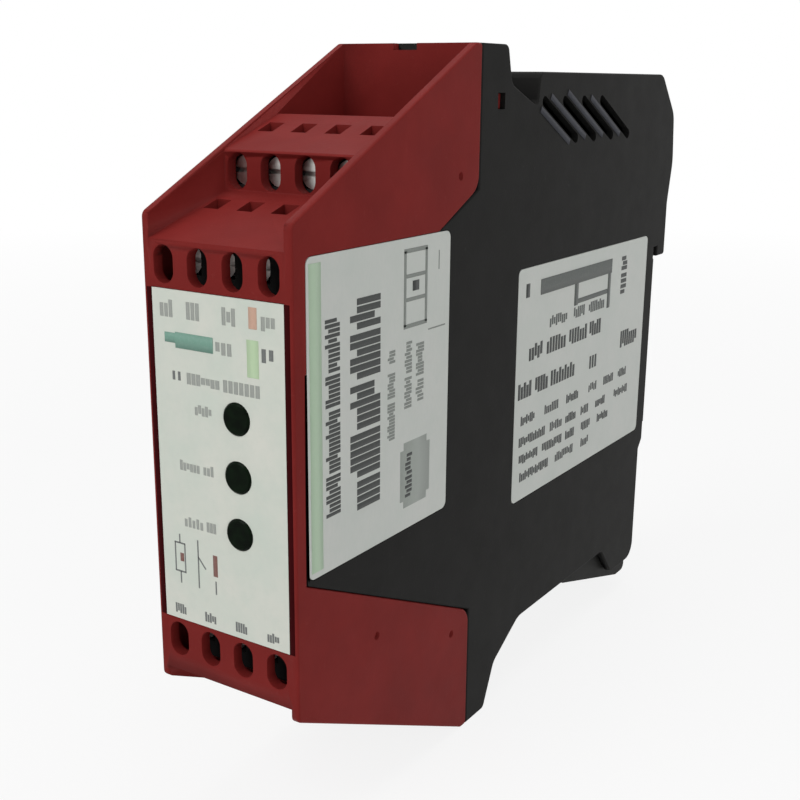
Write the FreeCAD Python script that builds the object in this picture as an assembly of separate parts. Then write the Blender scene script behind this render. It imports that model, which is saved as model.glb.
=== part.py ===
import FreeCAD, Part
import math
import os

# Safety relay in a slim housing for a 35 mm mounting rail.
# X runs across the width, Y runs from the front panel back to the rail, and Z runs up.
# Shapes are drawn with Y = 0 on the front panel and Z = 0 at mid-height.
# save() moves them so that the origin is the middle of the rail seat.

Vector = FreeCAD.Vector

# Overall form
WIDTH = 22.5
HEIGHT = 100.0
SEAT_Y = 107.5  # front panel to the rail seat
RAIL_Z = -2.0  # middle of the rail, measured from mid-height
WALL = 1.1  # side walls of the housing, and the hood's cheeks
FIT = 0.1  # gap between the hood and the housing
RUN = 0.05  # running gap of the latch

# Mounting rail
RAIL_HEIGHT = 35.0
RAIL_SHEET = 1.0
RAIL_PLAY = 0.3
CLAW_LAP = 1.5  # how far each claw reaches behind the rail's flange
CLAW_BACK = 5.0  # rail seat to the back of the claws
SEAT_RELIEF = 0.3  # the seat is set back by this under each claw
RELIEF_LAP = 0.3  # and for this much beyond the claw's tip

# Red hood
HOOD_Y = 41.0  # front panel to the hood's rear rim
CHEEK_Z = 30.0  # height of the cheeks at the front panel
CHEEK_TOP_Y = 39.5  # where the cheeks reach full height
SKIN = 1.5  # walls of the hood between its cheeks
STRIP_Y = 2.0  # red edge beside the front panel
SEAM_FRONT_Z = 12.9  # seam between the hood and the housing, at the strip
SEAM_BACK_Z = 31.1  # the same seam at the rim
SEAM_ROUND = 3.0
SHELF_1_Z = {"upper": 27.0, "lower": 28.5}  # front edge of the first shelf, at each end
RISER_1_Z = 31.6  # foot of the second riser
RISER_Y = 13.65
RISER_2_Z = 36.6  # front edge of the second shelf
POCKET_Y = 25.0  # front wall of the pocket behind the second shelf
SHELF_2_Z = 41.0
POCKET_Z = 36.0
EDGE = 0.5  # rounding of the shelves' edges

# Terminals
WAYS = 4
END_WALL = 0.2  # wall of a terminal block outside its last cage
TUNNEL_WIDTH = 3.1
TUNNEL_HEIGHT = 4.6
ROW_1_Z = 24.1
ROW_2_Z = 34.1
ENTRY_WIDTH = 2.4
ENTRY_LENGTH = 2.6
ENTRY_START = 0.2  # from the back of the cage's front plate
SCREW_HEAD = 3.7
SCREW_HEAD_LENGTH = 1.6
SCREW_GAP = 0.2  # screw head to its block's front
FRONT_ROW_DEPTH = 3.0  # front wall to the blocks of the front row
SCREW_SHANK = 2.6
SCREW_TIP = 0.8
SCREW_SLOT = 0.6
CAGE_WIDTH = 4.0
CAGE_LENGTH = 6.0
CAGE_END = 0.2  # cage to the back of its block
CAGE_HEIGHT = 4.4
CAGE_PLATE = 2.0
CAGE_SIDE = 0.6
CAGE_REAR = 1.0
PIN = 0.8

# Moulded dimples on the hood's cheeks, as depth and height
DIMPLES = ((16.7, 25.3), (36.0, 33.0))
DIMPLE = 1.2

# Labels and indicators
LABEL = 0.2
FRONT_LABEL_Z = 21.2
FRONT_LABEL_EDGE = 1.25  # red margin at either side of the front label
LENS_X = 2.7
LENS_Z = -0.35  # middle lens
LENS_STEP = 7.2
LENS = 4.0
LENS_PROUD = 0.25
LENS_FLANGE = 5.2
LENS_FLANGE_THICK = 1.0
LED = 3.0

# Black housing
SHOULDER_Y = 48.4  # upper shoulder: its crest, its foot and the notch behind it
SHOULDER_LOW = (49.7, 44.8)
NOTCH = (57.6, 41.7)
REAR_TOP = 46.5
LOWER_SHOULDER_Y = 46.5
LOWER_SHOULDER_LOW = (49.6, -43.4)
LOWER_BEND_Y = 57.5  # where the lower shoulder meets the flat bottom
REAR_BOTTOM = -38.8
LOBE_Z = -44.6
LOBE_FRONT = (90.5, 95.5)  # front edge of the lobes beside the latch, above and below
LOBE_ROUND = 3.0
HEEL_Y = 105.8
VENT_ANGLE = 26.5
VENT_LENGTH = 14.0
VENT_WIDTH = 1.6
VENT_STEP = 6.8
VENTS = 4
VENT_START = (59.9, 42.3)

# Circuit boards
BOARD = 1.6
BOARD_GAP = 1.35  # left flank's inner face to the main board
BOARD_FRONT = 27.8
BOARD_TOP = 38.0
BOARD_BOTTOM = -34.0
BOARD_BACK = 104.0
BOARD_NOTCH = (93.5, -18.0)
BOARD_STEP_Y = 43.0  # where the main board widens behind the hood
BOARD_FRONT_Z = 33.0
TONGUE_Z = 12.0  # half-width of the main board's tongue to the panel board
PANEL_BOARD_Y = 8.0
CROSS_BOARD_Z = (14.0, 34.0)
LOWER_GUIDE_Y = (66.0, 92.0)
GUIDE_ENDS = (6.0, 2.0)  # upper guides, from the notch and from the heel

# Parts on the main board
RELAY = (28.0, 16.0, 14.0)
RELAY_Y = 34.0
RELAY_GAP = 7.0  # middle of the board to the near wall of each relay
CORE = (24.0, 28.0, 12.0)
CORE_LEG = 4.0
CORE_Y = 67.0
COIL_HEIGHT = 15.0
CAPACITORS = {"smoothing": (10.0, 14.0, 71.0, 25.0), "output": (8.0, 12.0, 83.0, 25.0)}
ABSORBER = (9.0, 4.0, 72.0, -26.0)
FUSE = (8.0, 80.0, 84.0, -30.5, -22.0)
CHIP = (7.5, 10.3, 2.4)
CHIP_PLACE = (50.0, 30.4)
CHIP_LEGS = 8
CHIP_PITCH = 1.27

# Rail latch
LATCH_HALF = 7.0
LATCH_STEM = (101.0, 105.4)
LATCH_FOOT = ((77.0, -40.4), (101.5, -47.6))  # tip and heel of its sloped underside
FOOT_GAP = 0.4  # foot to the housing's bottom
FOOT_PLAY = 0.35  # foot to each lobe
FOOT_SLOT = (79.6, 81.4)  # screwdriver slot
LATCH_TAPER = (4.0, 7.5, 11.5)  # how far below the rail the latch's back slopes inward
ARM_Z = -24.0
ARM_THICK = 2.0
ARM_HALF = 3.0
ARM_REST = 0.4  # arm beyond the spring, towards the front
SPRING_CLEAR = 0.8  # spring to the latch's stem
SPRING_LENGTH = 10.0
SPRING_OUTER = 4.0
SPRING_WIRE = 0.5
SPRING_TURNS = 4

# Snap tongues of the hood, in windows of the housing
SNAP = (45.6, 47.6, 41.4, 43.6)
SNAP_THICK = 1.2
SNAP_MARGIN = 0.5  # tongue above and below its barb
SNAP_BITE = 0.35  # how far each barb stands out of the flank's inner face
SNAP_POCKET = 0.6  # depth of the blind pockets for the lower pair

half = WIDTH / 2
inner = half - WALL
top = HEIGHT / 2
rail_top = RAIL_Z + RAIL_HEIGHT / 2
rail_foot = RAIL_Z - RAIL_HEIGHT / 2
pitch = (2 * (inner - END_WALL) - CAGE_WIDTH) / (WAYS - 1)
ways = [(i - (WAYS - 1) / 2) * pitch for i in range(WAYS)]
label_x = half - FRONT_LABEL_EDGE
board_x = -inner + BOARD_GAP
face_x = board_x + BOARD  # the main board's face, where its parts stand
spring_y = LATCH_STEM[0] - SPRING_CLEAR - SPRING_OUTER / 2


def box(x0, x1, y0, y1, z0, z1):
    """A box between two corners."""
    return Part.makeBox(x1 - x0, y1 - y0, z1 - z0, Vector(x0, y0, z0))


def outline(points):
    """A closed wire in the Y-Z plane. A point (y, z, r) has its corner rounded by r."""
    count = len(points)
    corners = [Vector(0, p[0], p[1]) for p in points]
    starts, ends, arcs = [], [], []
    for i, point in enumerate(points):
        here = corners[i]
        radius = point[2] if len(point) > 2 else 0
        if not radius:
            starts.append(here)
            ends.append(here)
            arcs.append(None)
            continue
        before = (corners[i - 1] - here).normalize()
        after = (corners[(i + 1) % count] - here).normalize()
        half_turn = before.getAngle(after) / 2
        reach = radius / math.tan(half_turn)
        middle = (before + after).normalize()
        depth = radius / math.sin(half_turn) - radius
        starts.append(here + before * reach)
        ends.append(here + after * reach)
        arcs.append(here + middle * depth)
    edges = []
    for i in range(count):
        if arcs[i]:
            edges.append(Part.Arc(starts[i], arcs[i], ends[i]).toShape())
        following = starts[(i + 1) % count]
        if (following - ends[i]).Length > 1e-6:
            edges.append(Part.LineSegment(ends[i], following).toShape())
    return Part.Wire(edges)


def plate(points, x0, x1):
    """An outline in the Y-Z plane, extruded from x0 to x1."""
    face = Part.Face(outline(points))
    face.translate(Vector(x0, 0, 0))
    return face.extrude(Vector(x1 - x0, 0, 0))


def rod(diameter, start, direction, length):
    """A round rod from a start point along a direction."""
    return Part.makeCylinder(diameter / 2, length, Vector(*start), Vector(*direction))


def prism(diameter, start, length, along):
    """An eight-sided bar along X or Y, for small repeated details."""
    angles = [math.radians(45 * i + 22.5) for i in range(9)]
    radius = diameter / 2
    if along == "x":
        corners = [Vector(0, radius * math.cos(a), radius * math.sin(a)) for a in angles]
        run = Vector(length, 0, 0)
    else:
        corners = [Vector(radius * math.cos(a), 0, radius * math.sin(a)) for a in angles]
        run = Vector(0, length, 0)
    face = Part.Face(Part.makePolygon(corners))
    face.translate(Vector(*start))
    return face.extrude(run)


def mirrored(points):
    """An outline's upper half, completed by its mirror image below Z = 0."""
    lower = [(p[0], -p[1]) + tuple(p[2:]) for p in reversed(points)]
    return list(points) + lower


def flip(shape):
    """The same shape for the other end of the housing."""
    return shape.mirror(Vector(0, 0, 0), Vector(0, 0, 1))


def join(shapes):
    """Several touching solids made one."""
    return shapes[0].fuse(list(shapes[1:])).removeSplitter()


def remove(shape, tools):
    """A solid less all the tools."""
    return shape.cut(list(tools)).removeSplitter()


def rounded_slot(x, y0, y1, z, width, height):
    """A tunnel along Y with round ends above and below."""
    radius = width / 2
    reach = height / 2 - radius
    middle = box(x - radius, x + radius, y0, y1, z - reach, z + reach)
    ends = [rod(width, (x, y0, z + side * reach), (0, 1, 0), y1 - y0) for side in (-1, 1)]
    return join([middle] + ends)


def save(name, shape):
    """Write one node, measured from the middle of the rail seat."""
    moved = shape.copy()
    moved.translate(Vector(0, -SEAT_Y, -RAIL_Z))
    if not moved.isValid():
        raise ValueError(name + " is not a valid shape")
    moved.exportStep("parts/" + name + ".step")


# ---- red hood -----------------------------------------------------------------------

def shelf_1_z(y, end):
    """Height of one end's first shelf at a depth y."""
    return SHELF_1_Z[end] + (RISER_1_Z - SHELF_1_Z[end]) * y / RISER_Y


def shelf_2_z(y, end):
    """Height of the second shelf at a depth y, which is the same at both ends."""
    share = (y - RISER_Y) / (POCKET_Y - RISER_Y)
    return RISER_2_Z + (SHELF_2_Z - RISER_2_Z) * share


def ceiling_1_z(y, end):
    """Inner face of one end's first shelf at a depth y."""
    return shelf_1_z(y, end) - SKIN


def ceiling_2_z(y, end):
    """Inner face of one end's second shelf at a depth y."""
    return shelf_2_z(y, end) - SKIN


# Front face of the screw heads, and height, of each row
ROWS = {
    "front": (SKIN + FRONT_ROW_DEPTH + SCREW_GAP, ROW_1_Z),
    "rear": (RISER_Y + SKIN + SCREW_GAP, ROW_2_Z),
}


def cage_start(head_y):
    """Front face of a clamp cage behind its screw head."""
    return head_y + SCREW_HEAD_LENGTH


def screw_tunnels():
    """Screwdriver openings in both risers of one end."""
    rows = ((ROW_1_Z, -1.0, SKIN + 1), (ROW_2_Z, RISER_Y - 1, RISER_Y + SKIN + 1))
    return [rounded_slot(x, y0, y1, z, TUNNEL_WIDTH, TUNNEL_HEIGHT)
            for z, y0, y1 in rows for x in ways]


def wire_entries(end):
    """Wire openings in both shelves of one end, each over its clamp cage."""
    cuts = []
    w = ENTRY_WIDTH / 2
    for row, height in (("front", shelf_1_z), ("rear", shelf_2_z)):
        y0 = cage_start(ROWS[row][0]) + CAGE_PLATE + ENTRY_START
        y1 = y0 + ENTRY_LENGTH
        for x in ways:
            cuts.append(box(x - w, x + w, y0, y1,
                            height(y0, end) - 2 * SKIN, height(y1, end) + 1))
    return cuts


def lens_z(i):
    """Height of one lens: -1 for the lower, 0 for the middle, 1 for the upper."""
    return LENS_Z + i * LENS_STEP


def make_hood():
    """One moulding: front panel, cheeks, stepped terminal shelves and rear rims."""
    side = mirrored([
        (STRIP_Y, SEAM_FRONT_Z),
        (HOOD_Y, SEAM_BACK_Z, SEAM_ROUND),
        (HOOD_Y, top, EDGE),
        (CHEEK_TOP_Y, top, 1.0),
        (0, CHEEK_Z, 1.0),
    ])
    body = plate(side, -half, half)
    rim_notch = box(-1.9, 1.9, HOOD_Y - SKIN - 1, HOOD_Y + 1, top - 0.9, top + 1)
    riser_back = RISER_Y + SKIN
    tools = []
    for end in SHELF_1_Z:
        open_steps = [
            (-1, top + 1), (-1, SHELF_1_Z[end]), (0, SHELF_1_Z[end]), (RISER_Y, RISER_1_Z),
            (RISER_Y, RISER_2_Z, EDGE), (POCKET_Y, SHELF_2_Z, EDGE), (POCKET_Y, POCKET_Z),
            (HOOD_Y - SKIN, POCKET_Z, 1.0), (HOOD_Y - SKIN, top + 1),
        ]
        inside = [
            (HOOD_Y + 1, 0),
            (HOOD_Y + 1, POCKET_Z - SKIN),
            (POCKET_Y - SKIN, POCKET_Z - SKIN),
            (POCKET_Y - SKIN, ceiling_2_z(POCKET_Y - SKIN, end)),
            (riser_back, ceiling_2_z(riser_back, end)),
            (riser_back, ceiling_1_z(riser_back, end)),
            (SKIN, ceiling_1_z(SKIN, end)),
            (SKIN, 0),
        ]
        cuts = [plate(open_steps, -inner, inner), plate(inside, -inner, inner), rim_notch]
        cuts += screw_tunnels() + wire_entries(end)
        tools += cuts if end == "upper" else [flip(cut) for cut in cuts]
    for y, z in DIMPLES:
        for x in (-half - 1, half - 0.5):
            for end in (-1, 1):
                tools.append(prism(DIMPLE, (x, y, end * z), 1.5, "x"))
    tools.append(box(-label_x - FIT, label_x + FIT, -1, LABEL,
                     -FRONT_LABEL_Z - FIT, FRONT_LABEL_Z + FIT))
    for i in (-1, 0, 1):
        tools.append(rod(LENS + FIT, (LENS_X, -1, lens_z(i)), (0, 1, 0), 4))
    hood = remove(body, tools)
    snaps = [snap(side) for side in (-1, 1)]
    hood = join([hood] + snaps + [flip(shape) for shape in snaps])
    return remove(hood, [side_label_recess()])


def snap(side):
    """Tongue behind the rim, whose barb catches in the housing's window."""
    y0, y1, z0, z1 = SNAP
    near = inner - FIT - SNAP_THICK
    low, high = z0 - SNAP_MARGIN, z1 + SNAP_MARGIN
    tongue = box(near, inner - FIT, HOOD_Y - SKIN, y1 + FIT, low, high)
    root = box(near, inner, HOOD_Y - SKIN, HOOD_Y, low, high)
    barb = box(near, inner + SNAP_BITE, y0 + FIT, y1 - FIT, z0 + FIT, z1 - FIT)
    shape = join([tongue, root, barb])
    return shape if side > 0 else shape.mirror(Vector(0, 0, 0), Vector(1, 0, 0))


# ---- labels and indicators ------------------------------------------------------------

SIDE_LABEL = [(2.4, -12.4, 1.0), (33.6, -12.4, 1.0), (33.6, 26.2, 1.0), (2.4, 26.2, 1.0)]
REAR_LABEL = [(53.6, -18.3, 1.0), (103.8, -18.3, 1.0), (103.8, 18.3, 1.0), (53.6, 18.3, 1.0)]


def grown(points, gap):
    """A rectangle's outline, grown by a gap on every side."""
    middle_y = sum(p[0] for p in points) / len(points)
    middle_z = sum(p[1] for p in points) / len(points)
    return [(y + math.copysign(gap, y - middle_y), z + math.copysign(gap, z - middle_z), r)
            for y, z, r in points]


def side_label_recess():
    """Shallow recess for the label on the right flank, over hood and housing."""
    return plate(grown(SIDE_LABEL, FIT), half - LABEL, half + 1)


def make_front_label():
    """Printed panel with three holes for the indicators."""
    sheet = box(-label_x, label_x, 0, LABEL, -FRONT_LABEL_Z, FRONT_LABEL_Z)
    holes = [rod(LENS + FIT, (LENS_X, -1, lens_z(i)), (0, 1, 0), 3) for i in (-1, 0, 1)]
    return remove(sheet, holes)


def make_lens(i):
    """Domed lens with a flange that bears on the back of the front wall."""
    z = lens_z(i)
    stem = rod(LENS, (LENS_X, -LENS_PROUD, z), (0, 1, 0), SKIN + LENS_PROUD)
    rim = [e for e in stem.Edges if e.BoundBox.YMax < 0 and e.BoundBox.XLength > 1]
    stem = stem.makeChamfer(LENS_PROUD * 0.8, rim)
    flange = rod(LENS_FLANGE, (LENS_X, SKIN, z), (0, 1, 0), LENS_FLANGE_THICK)
    return join([stem, flange])


def make_led(i):
    """Light source on the panel board, with its dome against the lens."""
    z = lens_z(i)
    start = SKIN + LENS_FLANGE_THICK
    return rod(LED, (LENS_X, start, z), (0, 1, 0), PANEL_BOARD_Y - start)


# ---- terminals ------------------------------------------------------------------------

def make_screws(head_y, z):
    """Four slotted clamp screws, driven from the front."""
    screws = []
    for x in ways:
        head = rod(SCREW_HEAD, (x, head_y, z), (0, 1, 0), SCREW_HEAD_LENGTH)
        reach = SCREW_HEAD_LENGTH + CAGE_PLATE + SCREW_TIP
        shank = prism(SCREW_SHANK, (x, head_y + SCREW_HEAD_LENGTH / 2, z),
                      reach - SCREW_HEAD_LENGTH / 2, "y")
        slot = box(x - SCREW_HEAD, x + SCREW_HEAD, head_y - 1, head_y + SCREW_SLOT,
                   z - SCREW_SLOT / 2, z + SCREW_SLOT / 2)
        screws.append(remove(join([head, shank]), [slot]))
    return Part.makeCompound(screws)


def make_cages(head_y, z, board_y):
    """Four clamp cages, each open along Z for its wire, with a pin to the board."""
    cages = []
    y0 = cage_start(head_y)
    y1 = y0 + CAGE_LENGTH
    w = CAGE_WIDTH / 2
    h = CAGE_HEIGHT / 2
    for x in ways:
        block = box(x - w, x + w, y0, y1, z - h, z + h)
        window = box(x - w + CAGE_SIDE, x + w - CAGE_SIDE, y0 + CAGE_PLATE, y1 - CAGE_REAR,
                     z - h - 1, z + h + 1)
        bore = prism(SCREW_SHANK, (x, y0 - 1, z), CAGE_PLATE + 2, "y")
        pin = box(x - PIN / 2, x + PIN / 2, y1, board_y + BOARD,
                  z - h, z - h + PIN)
        cages.append(join([remove(block, [window, bore]), pin]))
    return Part.makeCompound(cages)


def make_block(head_y, z, ceiling, end):
    """Insulating block under a shelf, with a pocket for each cage and screw head."""
    y0 = head_y - SCREW_GAP
    y1 = cage_start(head_y) + CAGE_LENGTH + CAGE_END
    low = z - CAGE_HEIGHT / 2 - 1.2
    points = [(y0, low), (y1, low), (y1, ceiling(y1, end)), (y0, ceiling(y0, end))]
    block = plate(points, -inner, inner)
    tools = []
    for x in ways:
        w = CAGE_WIDTH / 2
        tools.append(box(x - w, x + w, cage_start(head_y), y1 + 1,
                         z - CAGE_HEIGHT / 2, ceiling(y1, end) + 1))
        h = SCREW_HEAD / 2
        tools.append(box(x - h, x + h, y0 - 1, cage_start(head_y), z - h, z + h))
    return remove(block, tools)


# ---- circuit boards and what they carry -------------------------------------------------

def make_terminal_board():
    """Small cross board behind the terminals of one end, drilled for their pins."""
    sheet = box(-inner + FIT, inner - FIT, BOARD_FRONT - BOARD, BOARD_FRONT, *CROSS_BOARD_Z)
    holes = []
    for z in (ROW_1_Z, ROW_2_Z):
        foot = z - CAGE_HEIGHT / 2
        for x in ways:
            holes.append(box(x - PIN / 2, x + PIN / 2, BOARD_FRONT - BOARD - 1, BOARD_FRONT + 1,
                             foot, foot + PIN))
    return remove(sheet, holes)


def make_main_board():
    """Board along the left flank: a tongue to the panel board, notched round the latch."""
    front = [
        (BOARD_STEP_Y, BOARD_TOP), (BOARD_STEP_Y, BOARD_FRONT_Z), (BOARD_FRONT, BOARD_FRONT_Z),
        (BOARD_FRONT, TONGUE_Z), (PANEL_BOARD_Y + BOARD, TONGUE_Z),
    ]
    lower = [(y, max(-z, BOARD_BOTTOM)) for y, z in reversed(front)]
    back = [
        (BOARD_NOTCH[0], BOARD_BOTTOM), BOARD_NOTCH,
        (BOARD_BACK, BOARD_NOTCH[1]), (BOARD_BACK, BOARD_TOP),
    ]
    return plate(front + lower + back, board_x, face_x)


def make_panel_board():
    """Cross board behind the front panel that carries the three light sources."""
    return box(-inner + 0.5, inner - 0.5, PANEL_BOARD_Y, PANEL_BOARD_Y + BOARD,
               -TONGUE_Z, TONGUE_Z)


def make_header():
    """Angled pin strip that joins a cross board to the main board."""
    low, high = CROSS_BOARD_Z[0] + 2.0, BOARD_FRONT_Z - 1.0
    return box(face_x, face_x + 2.5, BOARD_FRONT, BOARD_FRONT + 2.5, low, high)


def make_relay(end):
    """Sealed relay: a plastic cap on a slightly wider base."""
    length, width, height = RELAY
    z0 = RELAY_GAP if end > 0 else -RELAY_GAP - width
    base = box(face_x, face_x + 1.5, RELAY_Y, RELAY_Y + length, z0, z0 + width)
    cap = box(face_x + 1.5, face_x + height, RELAY_Y + 0.4, RELAY_Y + length - 0.4,
              z0 + 0.4, z0 + width - 0.4)
    edges = [e for e in cap.Edges if e.BoundBox.XMax > face_x + 2]
    return join([base, cap.makeChamfer(0.6, edges)])


def make_core():
    """Laminated transformer core with two windows."""
    length, width, height = CORE
    x0 = face_x + (COIL_HEIGHT - height) / 2
    block = box(x0, x0 + height, CORE_Y, CORE_Y + length, -width / 2, width / 2)
    windows = [box(x0 - 1, x0 + height + 1, CORE_Y + CORE_LEG, CORE_Y + length - CORE_LEG,
                   min(side * CORE_LEG, side * (width / 2 - CORE_LEG)),
                   max(side * CORE_LEG, side * (width / 2 - CORE_LEG)))
               for side in (-1, 1)]
    return remove(block, windows)


def make_coil():
    """Wound bobbin on the middle leg of the core, standing on the main board."""
    length, width, height = CORE
    x0 = face_x + (COIL_HEIGHT - height) / 2
    reach = width / 2 - CORE_LEG
    block = box(face_x, face_x + COIL_HEIGHT, CORE_Y + CORE_LEG, CORE_Y + length - CORE_LEG,
                -reach, reach)
    leg = box(x0, x0 + height, CORE_Y, CORE_Y + length, -CORE_LEG, CORE_LEG)
    return remove(block, [leg])


def make_capacitor(diameter, height, y, z):
    """Upright can with bevelled rims."""
    can = rod(diameter, (face_x, y, z), (1, 0, 0), height)
    rims = [e for e in can.Edges if e.BoundBox.XLength < 1e-6]
    return can.makeChamfer(0.5, rims)


def make_absorber():
    """Surge absorber: a disc on edge, on two leads."""
    diameter, thick, y, z = ABSORBER
    disc = rod(diameter, (face_x + diameter / 2 + 1.0, y, z), (0, 1, 0), thick)
    leads = [box(face_x, face_x + 3.0, y + thick / 2 - 0.4, y + thick / 2 + 0.4,
                 z + side * 2.5 - 0.4, z + side * 2.5 + 0.4) for side in (-1, 1)]
    return join([disc] + leads)


def make_chip(end):
    """Control circuit of one channel, with its rows of legs on the main board."""
    depth, width, height = CHIP
    y, z = CHIP_PLACE[0], end * CHIP_PLACE[1]
    body = box(face_x + 0.2, face_x + height, y, y + depth, z - width / 2, z + width / 2)
    legs = []
    for i in range(CHIP_LEGS):
        leg_z = z + (i - (CHIP_LEGS - 1) / 2) * CHIP_PITCH
        legs.append(box(face_x, face_x + 1.0, y - 1.0, y + depth + 1.0, leg_z - 0.2, leg_z + 0.2))
    return join([body] + legs)


# ---- housing ----------------------------------------------------------------------------

def housing_outline():
    """Side view of the housing, from the front seam round to the front seam."""
    claw_y = SEAT_Y + RAIL_SHEET + RAIL_PLAY
    back_y = SEAT_Y + CLAW_BACK
    claw_z = rail_top - CLAW_LAP
    slot_z = rail_top + RAIL_PLAY
    relief_y = SEAT_Y - SEAT_RELIEF
    seat_end = rail_foot - CLAW_LAP
    seam = SEAM_FRONT_Z - FIT
    return [
        (STRIP_Y + FIT, seam),
        (HOOD_Y, SEAM_BACK_Z - FIT),
        (HOOD_Y, top),
        (SHOULDER_Y, top, 1.0),
        (*SHOULDER_LOW, 2.0),
        (*NOTCH, 0.8),
        (NOTCH[0] + 0.7, REAR_TOP, 1.2),
        (HEEL_Y + 0.8, REAR_TOP, 2.5),
        (back_y + 0.6, 39.6, 4.0),
        (back_y + 1.6, 31.0, 8.0),
        (back_y, 23.6, 5.0),
        (back_y, claw_z, 0.6),
        (claw_y, claw_z, 0.3),
        (claw_y, slot_z),
        (relief_y, slot_z),
        (relief_y, claw_z - RELIEF_LAP),
        (SEAT_Y, claw_z - RELIEF_LAP),
        (SEAT_Y, rail_foot + CLAW_LAP + RELIEF_LAP),
        (relief_y, rail_foot + CLAW_LAP + RELIEF_LAP),
        (relief_y, seat_end),
        (HEEL_Y, seat_end - 1.7),
        (HEEL_Y, LOBE_Z, LOBE_ROUND),
        (LOBE_FRONT[1], LOBE_Z, 2.0),
        (LOBE_FRONT[0], REAR_BOTTOM, 1.0),
        (LOWER_BEND_Y, REAR_BOTTOM, 4.0),
        (*LOWER_SHOULDER_LOW, 2.5),
        (LOWER_SHOULDER_Y, -top, 1.0),
        (HOOD_Y, -top),
        (HOOD_Y, -SEAM_BACK_Z + FIT),
        (STRIP_Y + FIT, -seam),
    ]


def cavity_outline():
    """Side view of the hollow, open to the front."""
    floor = REAR_BOTTOM + WALL
    back_y = SEAT_Y + CLAW_BACK - WALL
    return [
        (-1, -top - 1),
        (HOOD_Y, -top - 1),
        (HOOD_Y, -top + WALL),
        (LOWER_SHOULDER_Y - 0.6 * WALL, -top + WALL),
        (LOWER_SHOULDER_LOW[0] - 0.8 * WALL, LOWER_SHOULDER_LOW[1] + 0.7 * WALL, 2.0),
        (LOWER_BEND_Y - 0.3 * WALL, floor, 3.0),
        (94.0, floor),
        (94.0, BOARD_NOTCH[1] - 0.5),
        (SEAT_Y - WALL, BOARD_NOTCH[1] - 0.5),
        (SEAT_Y - WALL, rail_top + RAIL_PLAY + WALL),
        (back_y, rail_top + RAIL_PLAY + WALL),
        (back_y, 24.0, 5.0),
        (back_y + 1.4, 31.0, 6.0),
        (back_y + 0.4, 38.8, 3.0),
        (HEEL_Y, REAR_TOP - WALL, 2.0),
        (NOTCH[0] + 2.3, REAR_TOP - WALL),
        (NOTCH[0] + 1.8, NOTCH[1] - WALL, 1.0),
        (NOTCH[0] - 0.6, NOTCH[1] - WALL, 1.0),
        (SHOULDER_LOW[0] - WALL, SHOULDER_LOW[1] - WALL + 0.3),
        (SHOULDER_Y - WALL, top - WALL),
        (HOOD_Y, top - WALL),
        (HOOD_Y, top + 1),
        (-1, top + 1),
    ]


def vent_slots():
    """Slanted slots through both flanks at the top of the rear section."""
    run = VENT_LENGTH - VENT_WIDTH
    cuts = []
    for i in range(VENTS):
        start = Vector(-half - 1, VENT_START[0] + i * VENT_STEP, VENT_START[1])
        bar = box(0, WIDTH + 2, 0, run, -VENT_WIDTH / 2, VENT_WIDTH / 2)
        ends = [rod(VENT_WIDTH, (0, y, 0), (1, 0, 0), WIDTH + 2) for y in (0, run)]
        slot = join([bar] + ends)
        slot.rotate(Vector(0, 0, 0), Vector(1, 0, 0), -VENT_ANGLE)
        slot.translate(start)
        cuts.append(slot)
    return cuts


def board_guides():
    """Pairs of ribs above and below the main board."""
    ribs = []
    upper_y = (NOTCH[0] + GUIDE_ENDS[0], HEEL_Y - GUIDE_ENDS[1])
    for x in (board_x - 1.0 - RUN, face_x + RUN):
        ribs.append(box(x, x + 1.0, *upper_y, BOARD_TOP - 1.5, REAR_TOP - WALL))
        ribs.append(box(x, x + 1.0, *LOWER_GUIDE_Y, REAR_BOTTOM + WALL, BOARD_BOTTOM + 1.5))
    ribs.append(box(board_x - RUN, face_x + RUN, *upper_y, BOARD_TOP, REAR_TOP - WALL))
    ribs.append(box(board_x - RUN, face_x + RUN, *LOWER_GUIDE_Y,
                    REAR_BOTTOM + WALL, BOARD_BOTTOM))
    return ribs


def make_housing():
    """Black moulding: flanks, shoulders, rail recess with its fixed claw, latch guide."""
    body = plate(housing_outline(), -half, half)
    hollow = plate(cavity_outline(), -inner, inner)
    latch_way = [
        box(-LATCH_HALF - RUN, LATCH_HALF + RUN, LATCH_STEM[0] - RUN, SEAT_Y + 1,
            LOBE_Z - 1, ARM_Z + ARM_THICK + RUN),
        box(-ARM_HALF - 0.2, ARM_HALF + 0.2, arm_front() - 0.2, LATCH_STEM[0],
            ARM_Z - SPRING_LENGTH, ARM_Z + ARM_THICK + RUN),
        box(-inner, inner, LOBE_FRONT[0] - 2, HEEL_Y + 1, LOBE_Z - 1, REAR_BOTTOM),
    ]
    pocket = inner + SNAP_POCKET
    windows = [box(-half - 1, half + 1, *SNAP), flip(box(-pocket, pocket, *SNAP))]
    rear_label = plate(grown(REAR_LABEL, FIT), half - LABEL, half + 1)
    solid = remove(body, [hollow] + latch_way + windows + vent_slots())
    solid = remove(solid, [side_label_recess(), rear_label])
    return join([solid] + board_guides())


# ---- rail latch -------------------------------------------------------------------------

def arm_front():
    """Depth of the latch arm's free end, just in front of the spring."""
    return spring_y - SPRING_OUTER / 2 - ARM_REST


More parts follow.
